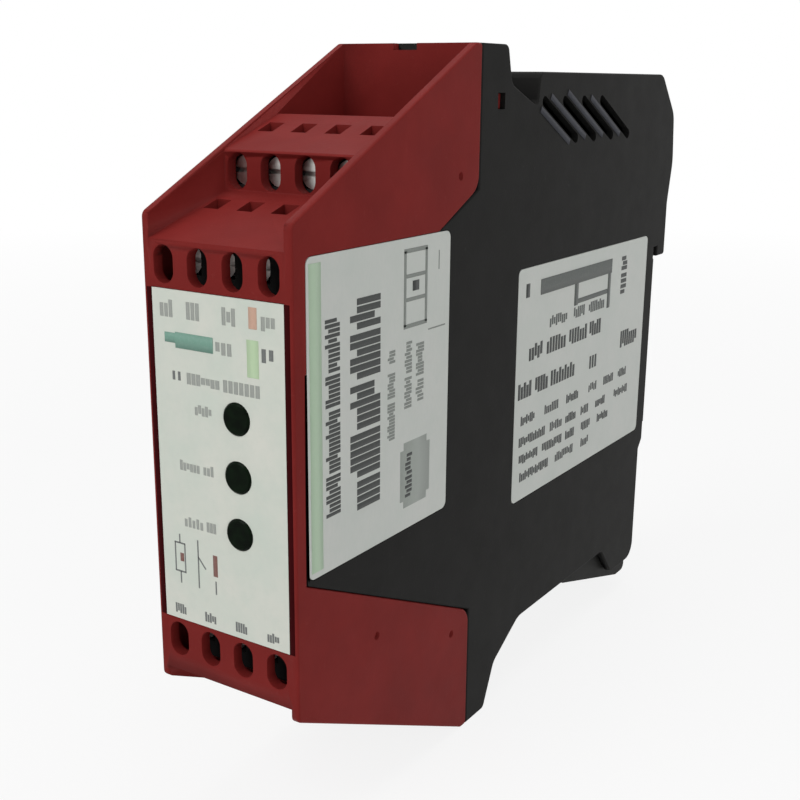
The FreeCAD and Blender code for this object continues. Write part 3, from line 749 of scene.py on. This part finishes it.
@dataclass
class SoftShell:
    """A moulded shell: its CAD solid with the mould's small radius along the flanks' rims."""

    node: str
    piece: str
    slot: str
    radius: float = 0.30 * MM
    steps: int = 3
    sharp: float = math.radians(32)
    coplanar: float = math.radians(0.4)
    flat_margin: float = 0.01 * MM
    # Least cosine between a face's normal and X: of a flank, and of a corner that shades flat.
    sideways: float = 0.999
    outward: float = 0.5
    area_weight: int = 100
    still: list[Zone] = field(default_factory=list)

    def moves(self, point: Vector) -> bool:
        """Whether a rim point is rounded, which it isn't round a sharp detail."""
        return not any(y0 < point.y < y1 and z0 < point.z < z1
                       for y0, y1, z0, z1 in self.still)

    def round_rim(self, form: bmesh.types.BMesh, side: float) -> None:
        """Rounds the rim of one flank with rings that follow a quarter circle.

        Args:
            form: The shell being shaped.
            side: 1 for the right flank, -1 for the left.
        """
        flank = {face for face in form.faces
                 if face.normal.x * side > self.sideways
                 and abs(face.calc_center_median().x * side - HALF_WIDTH) < self.flat_margin}
        turns = [math.pi / 2 * i / self.steps for i in range(self.steps + 1)]
        rings = []
        for here, following in zip(turns, turns[1:]):
            reach = self.radius * (math.cos(here) - math.cos(following))
            strip = bmesh.ops.inset_region(form, faces=list(flank), thickness=reach,
                                           use_even_offset=True, use_boundary=True)["faces"]
            inner = {point for face in flank for point in face.verts}
            outer = {point for face in strip for point in face.verts} - inner
            rings.append((outer, self.radius * (1 - math.sin(here))))
        edges = {edge for face in flank for edge in face.edges
                 if sum(other in flank for other in edge.link_faces) == 1}
        bmesh.ops.delete(form, geom=list(flank), context="FACES")
        filled = bmesh.ops.triangle_fill(form, use_beauty=True, use_dissolve=False,
                                         edges=list(edges), normal=(side, 0.0, 0.0))
        for face in (item for item in filled["geom"] if isinstance(item, bmesh.types.BMFace)):
            face.normal_update()
            if face.normal.x * side < 0:
                face.normal_flip()
        for points, depth in rings:
            for point in points:
                if self.moves(point.co):
                    point.co.x -= side * depth

    def flatten(self, mesh: Mesh) -> None:
        """Gives the corners on both flanks the flank's own normal, so that they shade flat.

        Args:
            mesh: The finished shell.
        """
        normals = [corner.vector.copy() for corner in mesh.corner_normals]
        for loop, normal in zip(mesh.loops, normals):
            x = mesh.vertices[loop.vertex_index].co.x
            if abs(abs(x) - HALF_WIDTH) < self.flat_margin and abs(normal.x) > self.outward:
                normal.xyz = (math.copysign(1.0, x), 0.0, 0.0)
        mesh.normals_split_custom_set(normals)

    def build(self, material: Material) -> Object:
        """Makes the rounded copy and lets it stand for the CAD node.

        Args:
            material: The shell's finish.

        Returns:
            The finished piece.
        """
        mesh, form = merged_copy(self.node, self.piece)
        bmesh.ops.dissolve_limit(form, angle_limit=self.coplanar, verts=form.verts,
                                 edges=form.edges)
        for side in (1.0, -1.0):
            self.round_rim(form, side)
        wide = [face for face in form.faces if len(face.verts) > 4]
        bmesh.ops.triangulate(form, faces=wide)
        for face in form.faces:
            face.smooth = True
        close(form, mesh, material)
        mesh.set_sharp_from_angle(angle=self.sharp)
        carrier = put(self.piece + "_carrier", mesh)
        shading = carrier.modifiers.new("flat_faces", "WEIGHTED_NORMAL")
        shading.mode = "FACE_AREA"
        shading.weight = self.area_weight
        shading.keep_sharp = True
        shell = resolve(carrier, self.piece)
        self.flatten(shell.data)
        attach(shell, Body.CASE.value)
        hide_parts(self.node)
        log.info("built %s with %d faces", self.piece, len(shell.data.polygons))
        return shell


@dataclass
class Casing:
    """Red terminal hood and black housing."""

    red: MouldedPlastic = MouldedPlastic("red_moulding", (0.195, 0.020, 0.018), rough=0.46,
                                         rub_and_highlight_colour=(0.75, 0.32, 0.28), rub_and_highlight=0.05)
    black: MouldedPlastic = MouldedPlastic("black_moulding", (0.0155, 0.0152, 0.0145), rough=0.50,
                                           rub_and_highlight_colour=(0.16, 0.16, 0.15), rub_and_highlight=0.10)
    label_zone: Zone = (1.9, 34.1, -12.9, 26.7)
    rating_zone: Zone = (53.1, 104.3, -18.8, 18.8)
    vent_zone: Zone = (58.4, 94.0, 34.0, 44.0)
    window_zone: Zone = (45.2, 48.0, 41.0, 44.0)
    dimples: tuple[Spot, ...] = ((16.7, 25.3), (36.0, 33.0))
    dimple_reach: float = 1.0

    def zone(self, limits: Zone) -> Zone:
        """The surroundings of a sharp detail, from drawing millimetres to the frame."""
        y0, y1, z0, z1 = limits
        return (PANEL_Y + y0 * MM, PANEL_Y + y1 * MM, MID_Z + z0 * MM, MID_Z + z1 * MM)

    def build(self) -> None:
        """Makes both shells."""
        sharp = [self.label_zone, self.rating_zone, self.vent_zone, self.window_zone]
        reach = self.dimple_reach
        for y, height in self.dimples:
            for z in (height, -height):
                sharp.append((y - reach, y + reach, z - reach, z + reach))
        still = [self.zone(limits) for limits in sharp]
        for node, piece, slot, finish in (
            ("front_hood", "hood_moulding", "red_plastic", self.red),
            ("rear_housing", "housing_moulding", "black_plastic", self.black),
        ):
            SoftShell(node, piece, slot, still=still).build(finish.make())


# ---- print --------------------------------------------------------------------------------------

@dataclass
class Typesetter:
    """Lays out rows of plain strokes that stand for print, in drawing millimetres."""

    seed: int = 0
    strokes: list[Stroke] = field(default_factory=list)
    # Distance between a word's blocks, in pen widths.
    pitch: float = 1.24
    # Share of the blocks that reach the foot and the head of the row, how far those reach from
    # its middle, and how far the others do, in row heights.
    feet: float = 0.8
    heads: float = 0.6
    full: float = 0.5
    foot: float = 0.3
    head: float = 0.28

    def __post_init__(self) -> None:
        """Starts the sheet's own random sequence."""
        self.chance = random.Random(self.seed)

    def bar(self, a: Spot, b: Spot, width: float) -> None:
        """Adds one straight stroke.

        Args:
            a: Start.
            b: End.
            width: Full width.
        """
        self.strokes.append(((a[0], a[1], 0.0), (b[0], b[1], 0.0), width / 2))

    def frame(self, x0: float, y0: float, x1: float, y1: float, width: float) -> None:
        """Adds a rectangle of four strokes."""
        reach = width / 2
        self.bar((x0 - reach, y0), (x1 + reach, y0), width)
        self.bar((x0 - reach, y1), (x1 + reach, y1), width)
        self.bar((x0, y0), (x0, y1), width)
        self.bar((x1, y0), (x1, y1), width)

    def words(self, start: Spot, end: Spot, height: float, pen: float,
              shares: tuple[float, ...] = (1,)) -> None:
        """Fills a line with words made of plain upright blocks.

        Args:
            start: Middle of the line's beginning.
            end: Middle of the line's end.
            height: Height of the blocks.
            pen: Width of a block.
            shares: Share of the line that each word and each gap takes, in turn.
        """
        run = Vector(end) - Vector(start)
        along = run.normalized()
        across = Vector((-along.y, along.x))
        at = 0.0
        scale = run.length / sum(shares)
        for i, share in enumerate(shares):
            reach = share * scale
            if i % 2 == 0:
                self.word(Vector(start) + along * at, along, across, reach, height, pen)
            at += reach

    def word(self, origin: Vector, along: Vector, across: Vector, reach: float,
             height: float, pen: float) -> None:
        """Adds one word as a row of plain upright blocks.

        Args:
            origin: Middle of its left edge.
            along: Reading direction.
            across: Direction of the blocks.
            reach: Length of the word.
            height: Height of its blocks.
            pen: Width of a block.
        """
        count = max(1, round(reach / (pen * self.pitch)))
        for i in range(count):
            middle = origin + along * (pen / 2 + i * (reach - pen) / max(1, count - 1))
            low = -self.full if self.chance.random() < self.feet else -self.foot
            high = self.full if self.chance.random() < self.heads else self.head
            self.bar(tuple(middle + across * height * low),
                     tuple(middle + across * height * high), pen)


def plain_bars(rows: Iterable[Bar]) -> list[Stroke]:
    """Bars on their own, each from its two ends and its full width."""
    sheet = Typesetter()
    for start, end, width in rows:
        sheet.bar(start, end, width)
    return sheet.strokes


@dataclass
class PrintedFace:
    """Print on one face, as thin strokes of ink that stand just proud of the film."""

    plane: Plane
    tree: StrokeTree
    relief: float = 0.12

    def place(self) -> Matrix:
        """Transform from drawing millimetres on the face to the frame.

        Returns:
            The matrix for the face.
        """
        scale = Matrix.Scale(MM, 4)
        if self.plane is Plane.FRONT:
            turn = Matrix(((1, 0, 0, 0), (0, 0, -1, PANEL_Y), (0, 1, 0, MID_Z), (0, 0, 0, 1)))
        else:
            turn = Matrix(((0, 0, 1, HALF_WIDTH), (1, 0, 0, PANEL_Y), (0, 1, 0, MID_Z),
                           (0, 0, 0, 1)))
        return turn @ scale

    def build(self, name: str, strokes: list[Stroke], ink: Material, slot: str) -> Object:
        """Prints strokes on the face.

        Args:
            name: The piece's name.
            strokes: The strokes in drawing millimetres.
            ink: Their material.
            slot: Not used.

        Returns:
            The finished piece.
        """
        piece = self.tree.build(name, strokes, self.relief, ink)
        piece.data.transform(self.place())
        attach(piece, Body.CASE.value)
        log.info("printed %s with %d strokes", name, len(strokes))
        return piece


@dataclass
class Panel:
    """Front panel film with its print, the three indicators and strips of painted shade beside the
    panel.
    """

    film: PrintedFilm = PrintedFilm("panel_film", (0.62, 0.675, 0.60), (0.70, 0.71, 0.64))
    lens: LensPlastic = LensPlastic("smoked_lens", (0.0012, 0.0035, 0.0012), (0.003, 0.009, 0.003))
    led: LensPlastic = LensPlastic("led_resin", (0.10, 0.30, 0.12), (0.16, 0.42, 0.18), rough=0.2)
    dark: Ink = Ink("panel_ink_grey", (0.15, 0.16, 0.155), (0.32, 0.34, 0.32))
    faint: Ink = Ink("panel_ink_faint", (0.34, 0.36, 0.33), (0.44, 0.46, 0.42))
    leaf: Ink = Ink("panel_ink_leaf", (0.50, 0.66, 0.42), (0.56, 0.68, 0.50))
    teal: Ink = Ink("panel_ink_teal", (0.16, 0.32, 0.25), (0.34, 0.46, 0.40))
    umber: Ink = Ink("panel_ink_umber", (0.20, 0.085, 0.070), (0.40, 0.28, 0.22))
    salmon: Ink = Ink("panel_ink_salmon", (0.60, 0.38, 0.28), (0.64, 0.50, 0.40))
    # Painted shade: a dark maroon moulding for the strips that stand for the shadow in the gaps
    # beside the panel.
    shadow_gap: MouldedPlastic = MouldedPlastic("painted_shadow_gap", (0.042, 0.004, 0.005), rough=0.6,
                                          rub_and_highlight_colour=(0.20, 0.06, 0.05), rub_and_highlight=0.05, gloss=0.01)
    # Pen of the small diagram.
    line: float = 0.22
    # An upright pale green bar at the head of the panel, and a pale tick over it.
    leaf_bars: Bars = (((5.4, 12.2), (5.4, 16.6), 1.7),)
    salmon_bars: Bars = (((5.5, 17.9), (5.5, 20.4), 1.2),)
    # A plain row across the head of the panel.
    teal_bars: Bars = (((-8.2, 15.4), (-6.3, 15.4), 1.2), ((-6.5, 15.2), (-0.6, 15.2), 1.9))
    # Short coloured marks in the small diagram.
    umber_bars: Bars = (((-1.4, -11.2), (-1.4, -14.0), 0.7), ((-6.9, -12.1), (-6.9, -13.2), 0.6))
    # Painted shade: dark strips that stand for the shadow in the gaps where the panel's cap meets
    # the hood's cheeks.
    shadow_gap_lines: Bars = (((-10.42, -21.2), (-10.42, 21.2), 0.8),
                        ((10.42, -21.2), (10.42, 21.2), 0.8))
    shadow_gap_relief: float = 0.05

    def build(self, tree: StrokeTree) -> None:
        """Dresses the panel and prints it.

        Args:
            tree: The tree that makes strokes.
        """
        dress(self.film.make(), "front_label")
        lens, led = self.lens.make(), self.led.make()
        for name in ("upper", "middle", "lower"):
            dress(lens, name + "_indicator_lens")
            dress(led, name + "_indicator_led")
        face = PrintedFace(Plane.FRONT, tree)
        for name, strokes, ink in (
            ("panel_marks", self.grey_marks(), self.dark),
            ("panel_rows", self.faint_marks(), self.faint),
            ("panel_leaf", plain_bars(self.leaf_bars), self.leaf),
            ("panel_band", plain_bars(self.teal_bars), self.teal),
            ("panel_key", plain_bars(self.umber_bars), self.umber),
            ("panel_tick", plain_bars(self.salmon_bars), self.salmon),
        ):
            face.build(name, strokes, ink.make(), "panel_film")
        # Prints the strips of painted shade beside the panel.
        shadow_gaps = PrintedFace(Plane.FRONT, tree, self.shadow_gap_relief)
        shadow_gaps.build("panel_painted_shadow_gaps", plain_bars(self.shadow_gap_lines), self.shadow_gap.make(), "red_plastic")

    def grey_marks(self) -> list[Stroke]:
        """Terminal ticks at the foot, two short marks at the head and the small diagram."""
        t = Typesetter(11)
        for x in (-7.5, -2.5, 2.5, 7.5):
            t.words((x - 0.9, -19.8), (x + 0.9, -19.8), 1.3, 0.30)
        t.words((-7.2, 10.8), (-5.9, 10.8), 1.1, 0.42)
        t.words((6.7, 15.0), (8.4, 15.0), 1.6, 0.62)
        t.frame(-8.0, -14.6, -6.4, -10.8, self.line)
        for start, end in (
            ((-7.2, -10.8), (-7.2, -9.6)), ((-7.2, -14.6), (-7.2, -16.2)),
            ((-4.2, -9.8), (-4.2, -16.2)), ((-4.2, -12.0), (-3.0, -13.4)),
            ((-1.4, -14.6), (-1.4, -16.4)),
        ):
            t.bar(start, end, self.line)
        return t.strokes

    def faint_marks(self) -> list[Stroke]:
        """Terminal ticks at the head, the rows under them and the indicator captions."""
        t = Typesetter(13)
        for x in (-7.8, -3.6, 1.9, 7.7):
            t.words((x - 1.0, 18.9), (x + 1.0, 18.9), 2.1, 0.56)
        t.words((-0.2, 15.2), (2.2, 15.2), 1.9, 0.62)
        t.words((-4.9, 10.7), (0.2, 10.7), 1.4, 0.62)
        t.words((0.8, 10.6), (6.3, 10.6), 1.5, 0.62)
        t.words((-3.8, 7.0), (-1.2, 7.0), 1.3, 0.44)
        t.words((-6.6, -0.4), (-1.2, -0.4), 1.3, 0.44, (2, 0.4, 1))
        t.words((-6.2, -7.7), (-1.1, -7.7), 1.3, 0.44, (2, 0.4, 1))
        return t.strokes


@dataclass
class Flanks:
    """Labels on the right flank, with their print."""

    film: PrintedFilm = PrintedFilm("label_film", (0.550, 0.584, 0.546), (0.592, 0.609, 0.575))
    black: Ink = Ink("label_ink_black", (0.020, 0.024, 0.022), (0.10, 0.11, 0.10))
    middle: Ink = Ink("label_ink_middle", (0.075, 0.085, 0.078), (0.20, 0.22, 0.20))
    veil: Ink = Ink("label_ink_veil", (0.33, 0.36, 0.33), (0.42, 0.45, 0.42))
    grey: Ink = Ink("label_ink_grey", (0.20, 0.22, 0.20), (0.36, 0.38, 0.35))
    green: Ink = Ink("label_tint_green", (0.44, 0.58, 0.42), (0.52, 0.62, 0.50))
    # A pale band along the side label's front edge.
    tint_bars: Bars = (((4.0, -11.6), (4.0, 25.4), 2.2),)
    # A shaded field with stepped ends, thin enough to carry the row on it.
    field_bars: Bars = (((25.5, -9.4), (25.5, -8.4), 5.6), ((25.5, -8.4), (25.5, -1.4), 7.2),
                        ((25.5, -1.4), (25.5, -0.4), 5.6))
    field_relief: float = 0.006
    row_relief: float = 0.3

    def build(self, tree: StrokeTree) -> None:
        """Dresses both labels and prints them.

        Args:
            tree: The tree that makes strokes.
        """
        dress(self.film.make(), "side_label", "rating_label")
        black = self.black.make()
        face = PrintedFace(Plane.RIGHT, tree)
        field_face = PrintedFace(Plane.RIGHT, tree, self.field_relief)
        row_face = PrintedFace(Plane.RIGHT, tree, self.row_relief)
        for sheet, name, strokes, ink in (
            (face, "side_title", self.side_title(), black),
            (face, "side_notes", self.side_notes(), self.grey.make()),
            (face, "side_tint", plain_bars(self.tint_bars), self.green.make()),
            (field_face, "side_field", plain_bars(self.field_bars), self.veil.make()),
            (row_face, "side_field_row", self.field_row(), black),
            (face, "rating_rows", self.rating_rows(), black),
            (face, "rating_diagram", self.rating_diagram(), self.middle.make()),
        ):
            sheet.build(name, strokes, ink, "label_film")

    def side_title(self) -> list[Stroke]:
        """Two rows that read upward: a slim one and a bold one."""
        t = Typesetter(41)
        t.words((7.3, -5.5), (7.3, 18.6), 2.9, 0.45, (4, 0.3, 6, 0.4, 3, 0.3, 5))
        t.words((14.0, -6.4), (14.0, 20.2), 6.4, 0.8, (2, 0.3, 3, 0.3, 3, 0.4, 3, 0.3, 2))
        t.bar((25.2, 19.4), (25.2, 20.7), 1.5)
        return t.strokes

    def side_notes(self) -> list[Stroke]:
        """Fine rows and a boxed field at the label's upper corner."""
        t = Typesetter(43)
        t.words((19.7, 0.8), (19.7, 12.5), 1.7, 0.34, (3, 0.4, 2, 0.8, 1))
        t.words((23.6, 4.2), (23.6, 13.0), 1.7, 0.36, (3, 0.4, 3))
        t.words((26.4, 4.6), (26.4, 12.4), 1.9, 0.36, (2, 0.4, 3))
        t.frame(22.7, 15.0, 27.7, 24.6, 0.55)
        t.bar((22.7, 18.4), (27.7, 18.4), 0.5)
        t.bar((22.7, 21.4), (27.7, 21.4), 0.5)
        t.bar((30.8, 21.4), (30.8, 23.9), 0.25)
        t.bar((28.3, 13.8), (32.6, 13.8), 0.2)
        return t.strokes

    def field_row(self) -> list[Stroke]:
        """The short row on the shaded field."""
        t = Typesetter(46)
        t.words((23.9, -8.0), (23.9, -2.0), 1.6, 0.42, (2, 0.2, 2))
        return t.strokes

    def rating_rows(self) -> list[Stroke]:
        """Two bold rows, four fine rows and the marks at the right."""
        t = Typesetter(53)
        t.words((57.8, 5.0), (84.5, 5.0), 2.5, 0.75, (2, 0.7, 3, 0.6, 3, 0.5, 2))
        t.words((54.6, -0.6), (74.6, -0.6), 2.5, 0.75, (2, 0.6, 2, 0.5, 4))
        t.words((80.6, -0.9), (83.4, -0.9), 2.2, 0.70)
        rows = (
            (-5.4, (55.8, 60.5), (64.0, 69.0), (72.0, 76.6), (80.8, 84.0), (87.0, 91.2),
             (93.4, 97.0)),
            (-8.8, (55.4, 64.4), (66.2, 70.6), (72.0, 76.0), (78.0, 81.0), (84.0, 88.0),
             (92.0, 98.0)),
            (-11.7, (55.6, 62.0), (63.6, 70.8), (72.2, 75.6), (78.4, 82.0), (85.0, 89.6)),
            (-14.6, (56.0, 66.0), (68.6, 75.4), (78.6, 81.6)),
        )
        for z, *words in rows:
            for start, end in words:
                t.words((start, z), (end, z), 1.5, 0.48)
        t.bar((56.7, 13.8), (56.7, 15.9), 1.2)
        t.words((93.5, 15.8), (93.5, 9.2), 2.4, 0.7, (2, 0.5, 3))
        t.words((93.6, 0.8), (101.0, 0.8), 3.0, 0.75)
        return t.strokes

    def rating_diagram(self) -> list[Stroke]:
        """A plain wiring sketch: a rail of blocks over two branches."""
        t = Typesetter(59)
        t.bar((61.0, 14.8), (88.0, 14.8), 2.4)
        t.bar((87.2, 14.8), (87.2, 7.6), 1.2)
        t.bar((74.0, 13.6), (74.0, 10.0), 1.4)
        t.bar((74.0, 10.6), (87.0, 10.6), 0.8)
        t.words((64.6, 8.8), (85.5, 8.8), 1.8, 0.55, (3, 1.2, 2, 0.8, 3))
        return t.strokes


# ---- inner pieces -------------------------------------------------------------------------------

@dataclass
class Terminals:
    """Clamp screws, cages and blocks at both ends."""

    screw: PlatedSteel = PlatedSteel("screw_plating", (0.62, 0.61, 0.58), (0.42, 0.41, 0.39),
                                     rough=0.30)
    cage: PlatedSteel = PlatedSteel("cage_plating", (0.50, 0.49, 0.45), (0.33, 0.32, 0.29),
                                    rough=0.38, marks=(9000, 2500, 2500))
    block: MouldedPlastic = MouldedPlastic("block_moulding", (0.022, 0.022, 0.022), rough=0.6)

    def build(self) -> None:
        """Dresses every terminal row."""
        screw, cage, block = self.screw.make(), self.cage.make(), self.block.make()
        for end in ("upper", "lower"):
            for row in ("front", "rear"):
                stem = f"{end}_{row}_"
                dress(screw, stem + "terminal_screws")
                dress(cage, stem + "clamp_cages")
                dress(block, stem + "terminal_block")


@dataclass
class Electronics:
    """Boards and everything soldered to them."""

    board: BoardLaminate = BoardLaminate("board_laminate", (0.012, 0.085, 0.040),
                                         (0.025, 0.140, 0.070), (0.60, 0.58, 0.52))
    header: MouldedPlastic = MouldedPlastic("header_moulding", (0.03, 0.03, 0.03), rough=0.5)
    relay: MouldedPlastic = MouldedPlastic("relay_cap", (0.055, 0.085, 0.150), rough=0.34,
                                           grain=0.2 * MM)
    fuse: MouldedPlastic = MouldedPlastic("fuse_cap", (0.06, 0.05, 0.045), rough=0.3)
    core: Laminations = Laminations("core_laminations", (0.19, 0.18, 0.17), (0.16, 0.08, 0.04))
    coil: WoundTape = WoundTape("coil_tape", (0.62, 0.42, 0.06), (0.36, 0.22, 0.03))
    absorber: DippedResin = DippedResin("absorber_resin", (0.03, 0.09, 0.32))
    # The two chips: their body and legs, and how far the legs reach in from both ends.
    chip: Colour = (0.012, 0.012, 0.013)
    legs: Colour = (0.55, 0.54, 0.50)
    leg_reach: float = 1.0 * MM
    # The two capacitors: their sleeve, stripe and can, the bare top's depth and the stripe's
    # share of the height.
    sleeve: Colour = (0.010, 0.012, 0.022)
    stripe: Colour = (0.45, 0.46, 0.45)
    can: Colour = (0.62, 0.62, 0.60)
    top_depth: float = 0.3 * MM
    stripe_share: float = 0.2

    def build(self) -> None:
        """Dresses the boards and their parts."""
        dress(self.board.make(), "main_board", "panel_board", "upper_terminal_board",
              "lower_terminal_board")
        dress(self.header.make(), "upper_board_header", "lower_board_header")
        dress(self.relay.make(), "upper_relay", "lower_relay")
        for finish, name in (
            (self.fuse, "fuse"),
            (self.core, "transformer_core"),
            (self.coil, "transformer_coil"),
            (self.absorber, "surge_absorber"),
        ):
            dress(finish.make(), name)
        for name in ("upper_channel_chip", "lower_channel_chip"):
            low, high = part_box(name)
            package = LeggedPackage(name + "_package", self.chip, self.legs,
                                    (low.y + self.leg_reach, high.y - self.leg_reach))
            dress(package.make(), name)
        for name in ("smoothing_capacitor", "output_capacitor"):
            low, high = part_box(name)
            can = CanSleeve(name + "_sleeve", self.sleeve, self.stripe, self.can,
                            high.x - self.top_depth,
                            (low.z, low.z + self.stripe_share * (high.z - low.z)))
            dress(can.make(), name)


@dataclass
class VentRibs:
    """Low ribs on the lands between the vents, coloured paler than the moulding as painted
    highlight of the light that they catch.
    """

    first: Spot = (56.5, 42.3)
    step: float = 6.8
    slope: float = -0.4986
    spans: tuple[Spot, ...] = ((2.1, 12.2), (-1.5, 11.1), (-2.6, 10.9), (-1.0, 11.0))
    width: float = 0.9
    relief: float = 0.5
    # Painted highlight: a base colour much paler than the housing's black, and heavy pale patches,
    # stand for the light that the ribs catch.
    plastic: MouldedPlastic = MouldedPlastic("vent_rib_painted_highlight", (0.060, 0.062, 0.072),
                                             rub_and_highlight_colour=(0.16, 0.16, 0.17), rub_and_highlight=0.5)

    def build(self, tree: StrokeTree) -> None:
        """Lays the ribs.

        Args:
            tree: The tree that makes strokes.
        """
        y, z = self.first
        lands = []
        for i, span in enumerate(self.spans):
            start, end = ((y + i * self.step + reach, z + self.slope * reach) for reach in span)
            lands.append((start, end, self.width))
        face = PrintedFace(Plane.RIGHT, tree, self.relief)
        face.build("vent_ribs", plain_bars(lands), self.plastic.make(), "black_plastic")


@dataclass
class RailClip:
    """Sliding latch and the spring that it presses down onto its seat."""

    travel: float = 3.0 * MM
    plastic: MouldedPlastic = MouldedPlastic("latch_moulding", (0.017, 0.017, 0.016), rough=0.46,
                                             rub_and_highlight_colour=(0.20, 0.20, 0.19), rub_and_highlight=0.12)
    spring: PlatedSteel = PlatedSteel("spring_wire", (0.45, 0.44, 0.42), (0.30, 0.29, 0.28),
                                      rough=0.26, marks=(6000, 6000, 1500))

    def build(self) -> None:
        """Dresses the latch and makes a copy of the spring that takes the CAD node's place."""
        dress(self.plastic.make(), "rail_latch")
        mesh, form = merged_copy("latch_spring", "pressed_spring")
        close(form, mesh, self.spring.make())
        coil = put("pressed_spring", mesh)
        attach(coil, Body.CASE.value)
        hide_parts("latch_spring")
        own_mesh(coil)
        log.info("built %s", coil.name)


# ---- studio -------------------------------------------------------------------------------------

@dataclass(frozen=True)
class Lamp:
    """A soft square lamp aimed at the relay."""

    name: str
    place: Point
    size: float
    power: float
    aim: Point = (0.0, -0.055, 0.0)

    def build(self) -> None:
        """Hangs the lamp."""
        light = bpy.data.lights.new(self.name, "AREA")
        light.size = self.size
        light.energy = self.power
        gaze = Vector(self.aim) - Vector(self.place)
        put(self.name, light).matrix_world = (
            Matrix.Translation(self.place) @ gaze.to_track_quat("-Z", "Y").to_matrix().to_4x4())
        log.info("hung %s", self.name)


@dataclass
class Studio:
    """Pale floor, soft lamps, white surroundings and the camera."""

    azimuth: float = math.radians(33.04)
    elevation: float = math.radians(15.21)
    roll: float = math.radians(0.49)
    eye: Point = (0.09037, -0.20742, 0.04714)
    lens: float = 52.93
    sensor: float = 36.0
    near: float = 0.005
    ambient: float = 0.26
    floor_reach: float = 4.0
    floor_gap: float = 0.05 * MM
    paper: StageFloor = StageFloor("floor_paper", (0.80, 0.80, 0.80), glow=0.86)
    lamps: tuple[Lamp, ...] = (
        Lamp("key_lamp", (-0.25, -0.75, 0.62), size=0.55, power=4.1),
        Lamp("side_lamp", (0.85, -0.35, 0.35), size=0.60, power=2.1),
        Lamp("top_lamp", (0.05, 0.10, 0.95), size=0.60, power=2.9),
    )

    def build(self) -> None:
        """Sets the whole studio up."""
        self.lay_floor()
        self.light_world()
        for lamp in self.lamps:
            lamp.build()
        self.stand_camera()
        bpy.context.scene.view_settings.view_transform = "Standard"

    def lay_floor(self) -> None:
        """Lays the floor just under the relay."""
        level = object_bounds()[0][2] - self.floor_gap
        reach = self.floor_reach
        mesh = bpy.data.meshes.new("floor")
        corners = [(x, y, level) for x, y in
                   ((-reach, -reach), (reach, -reach), (reach, reach), (-reach, reach))]
        mesh.from_pydata(corners, [], [(0, 1, 2, 3)])
        mesh.materials.append(self.paper.make())
        floor = put("floor", mesh)
        floor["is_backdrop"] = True

    def light_world(self) -> None:
        """White for the camera and for reflections, softer for the light it gives."""
        world = bpy.data.worlds.new("surroundings")
        bpy.context.scene.world = world
        world.use_nodes = True
        tree = world.node_tree
        sky = tree.nodes["Background"]
        sky.inputs["Color"].default_value = WHITE
        strength = tree.nodes.new("ShaderNodeMapRange")
        strength.inputs["To Min"].default_value = self.ambient
        strength.inputs["To Max"].default_value = 1.0
        tree.links.new(background_rays(tree), strength.inputs["Value"])
        tree.links.new(strength.outputs["Result"], sky.inputs["Strength"])

    def stand_camera(self) -> None:
        """Stands the camera and makes it the scene's own."""
        a, e, r = self.azimuth, self.elevation, self.roll
        right = Vector((math.cos(a), math.sin(a), 0.0))
        up = Vector((-math.sin(a) * math.sin(e), math.cos(a) * math.sin(e), math.cos(e)))
        back = Vector((math.sin(a) * math.cos(e), -math.cos(a) * math.cos(e), math.sin(e)))
        across = right * math.cos(r) + up * math.sin(r)
        upward = up * math.cos(r) - right * math.sin(r)
        data = bpy.data.cameras.new("camera")
        data.sensor_width = self.sensor
        data.lens = self.lens
        data.clip_start = self.near
        camera = put("camera", data)
        camera.matrix_world = Matrix((
            (across.x, upward.x, back.x, self.eye[0]),
            (across.y, upward.y, back.y, self.eye[1]),
            (across.z, upward.z, back.z, self.eye[2]),
            (0.0, 0.0, 0.0, 1.0),
        ))
        bpy.context.scene.camera = camera
        log.info("camera stands at %s", self.eye)


def main() -> None:
    """Builds the dressed relay and its studio."""
    logging.basicConfig(level=logging.INFO, format="%(name)s: %(message)s")
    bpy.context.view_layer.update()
    Studio().build()
    tree = StrokeTree()
    Casing().build()
    Panel().build(tree)
    Flanks().build(tree)
    VentRibs().build(tree)
    Terminals().build()
    Electronics().build()
    RailClip().build()


if __name__ == "__main__":
    main()
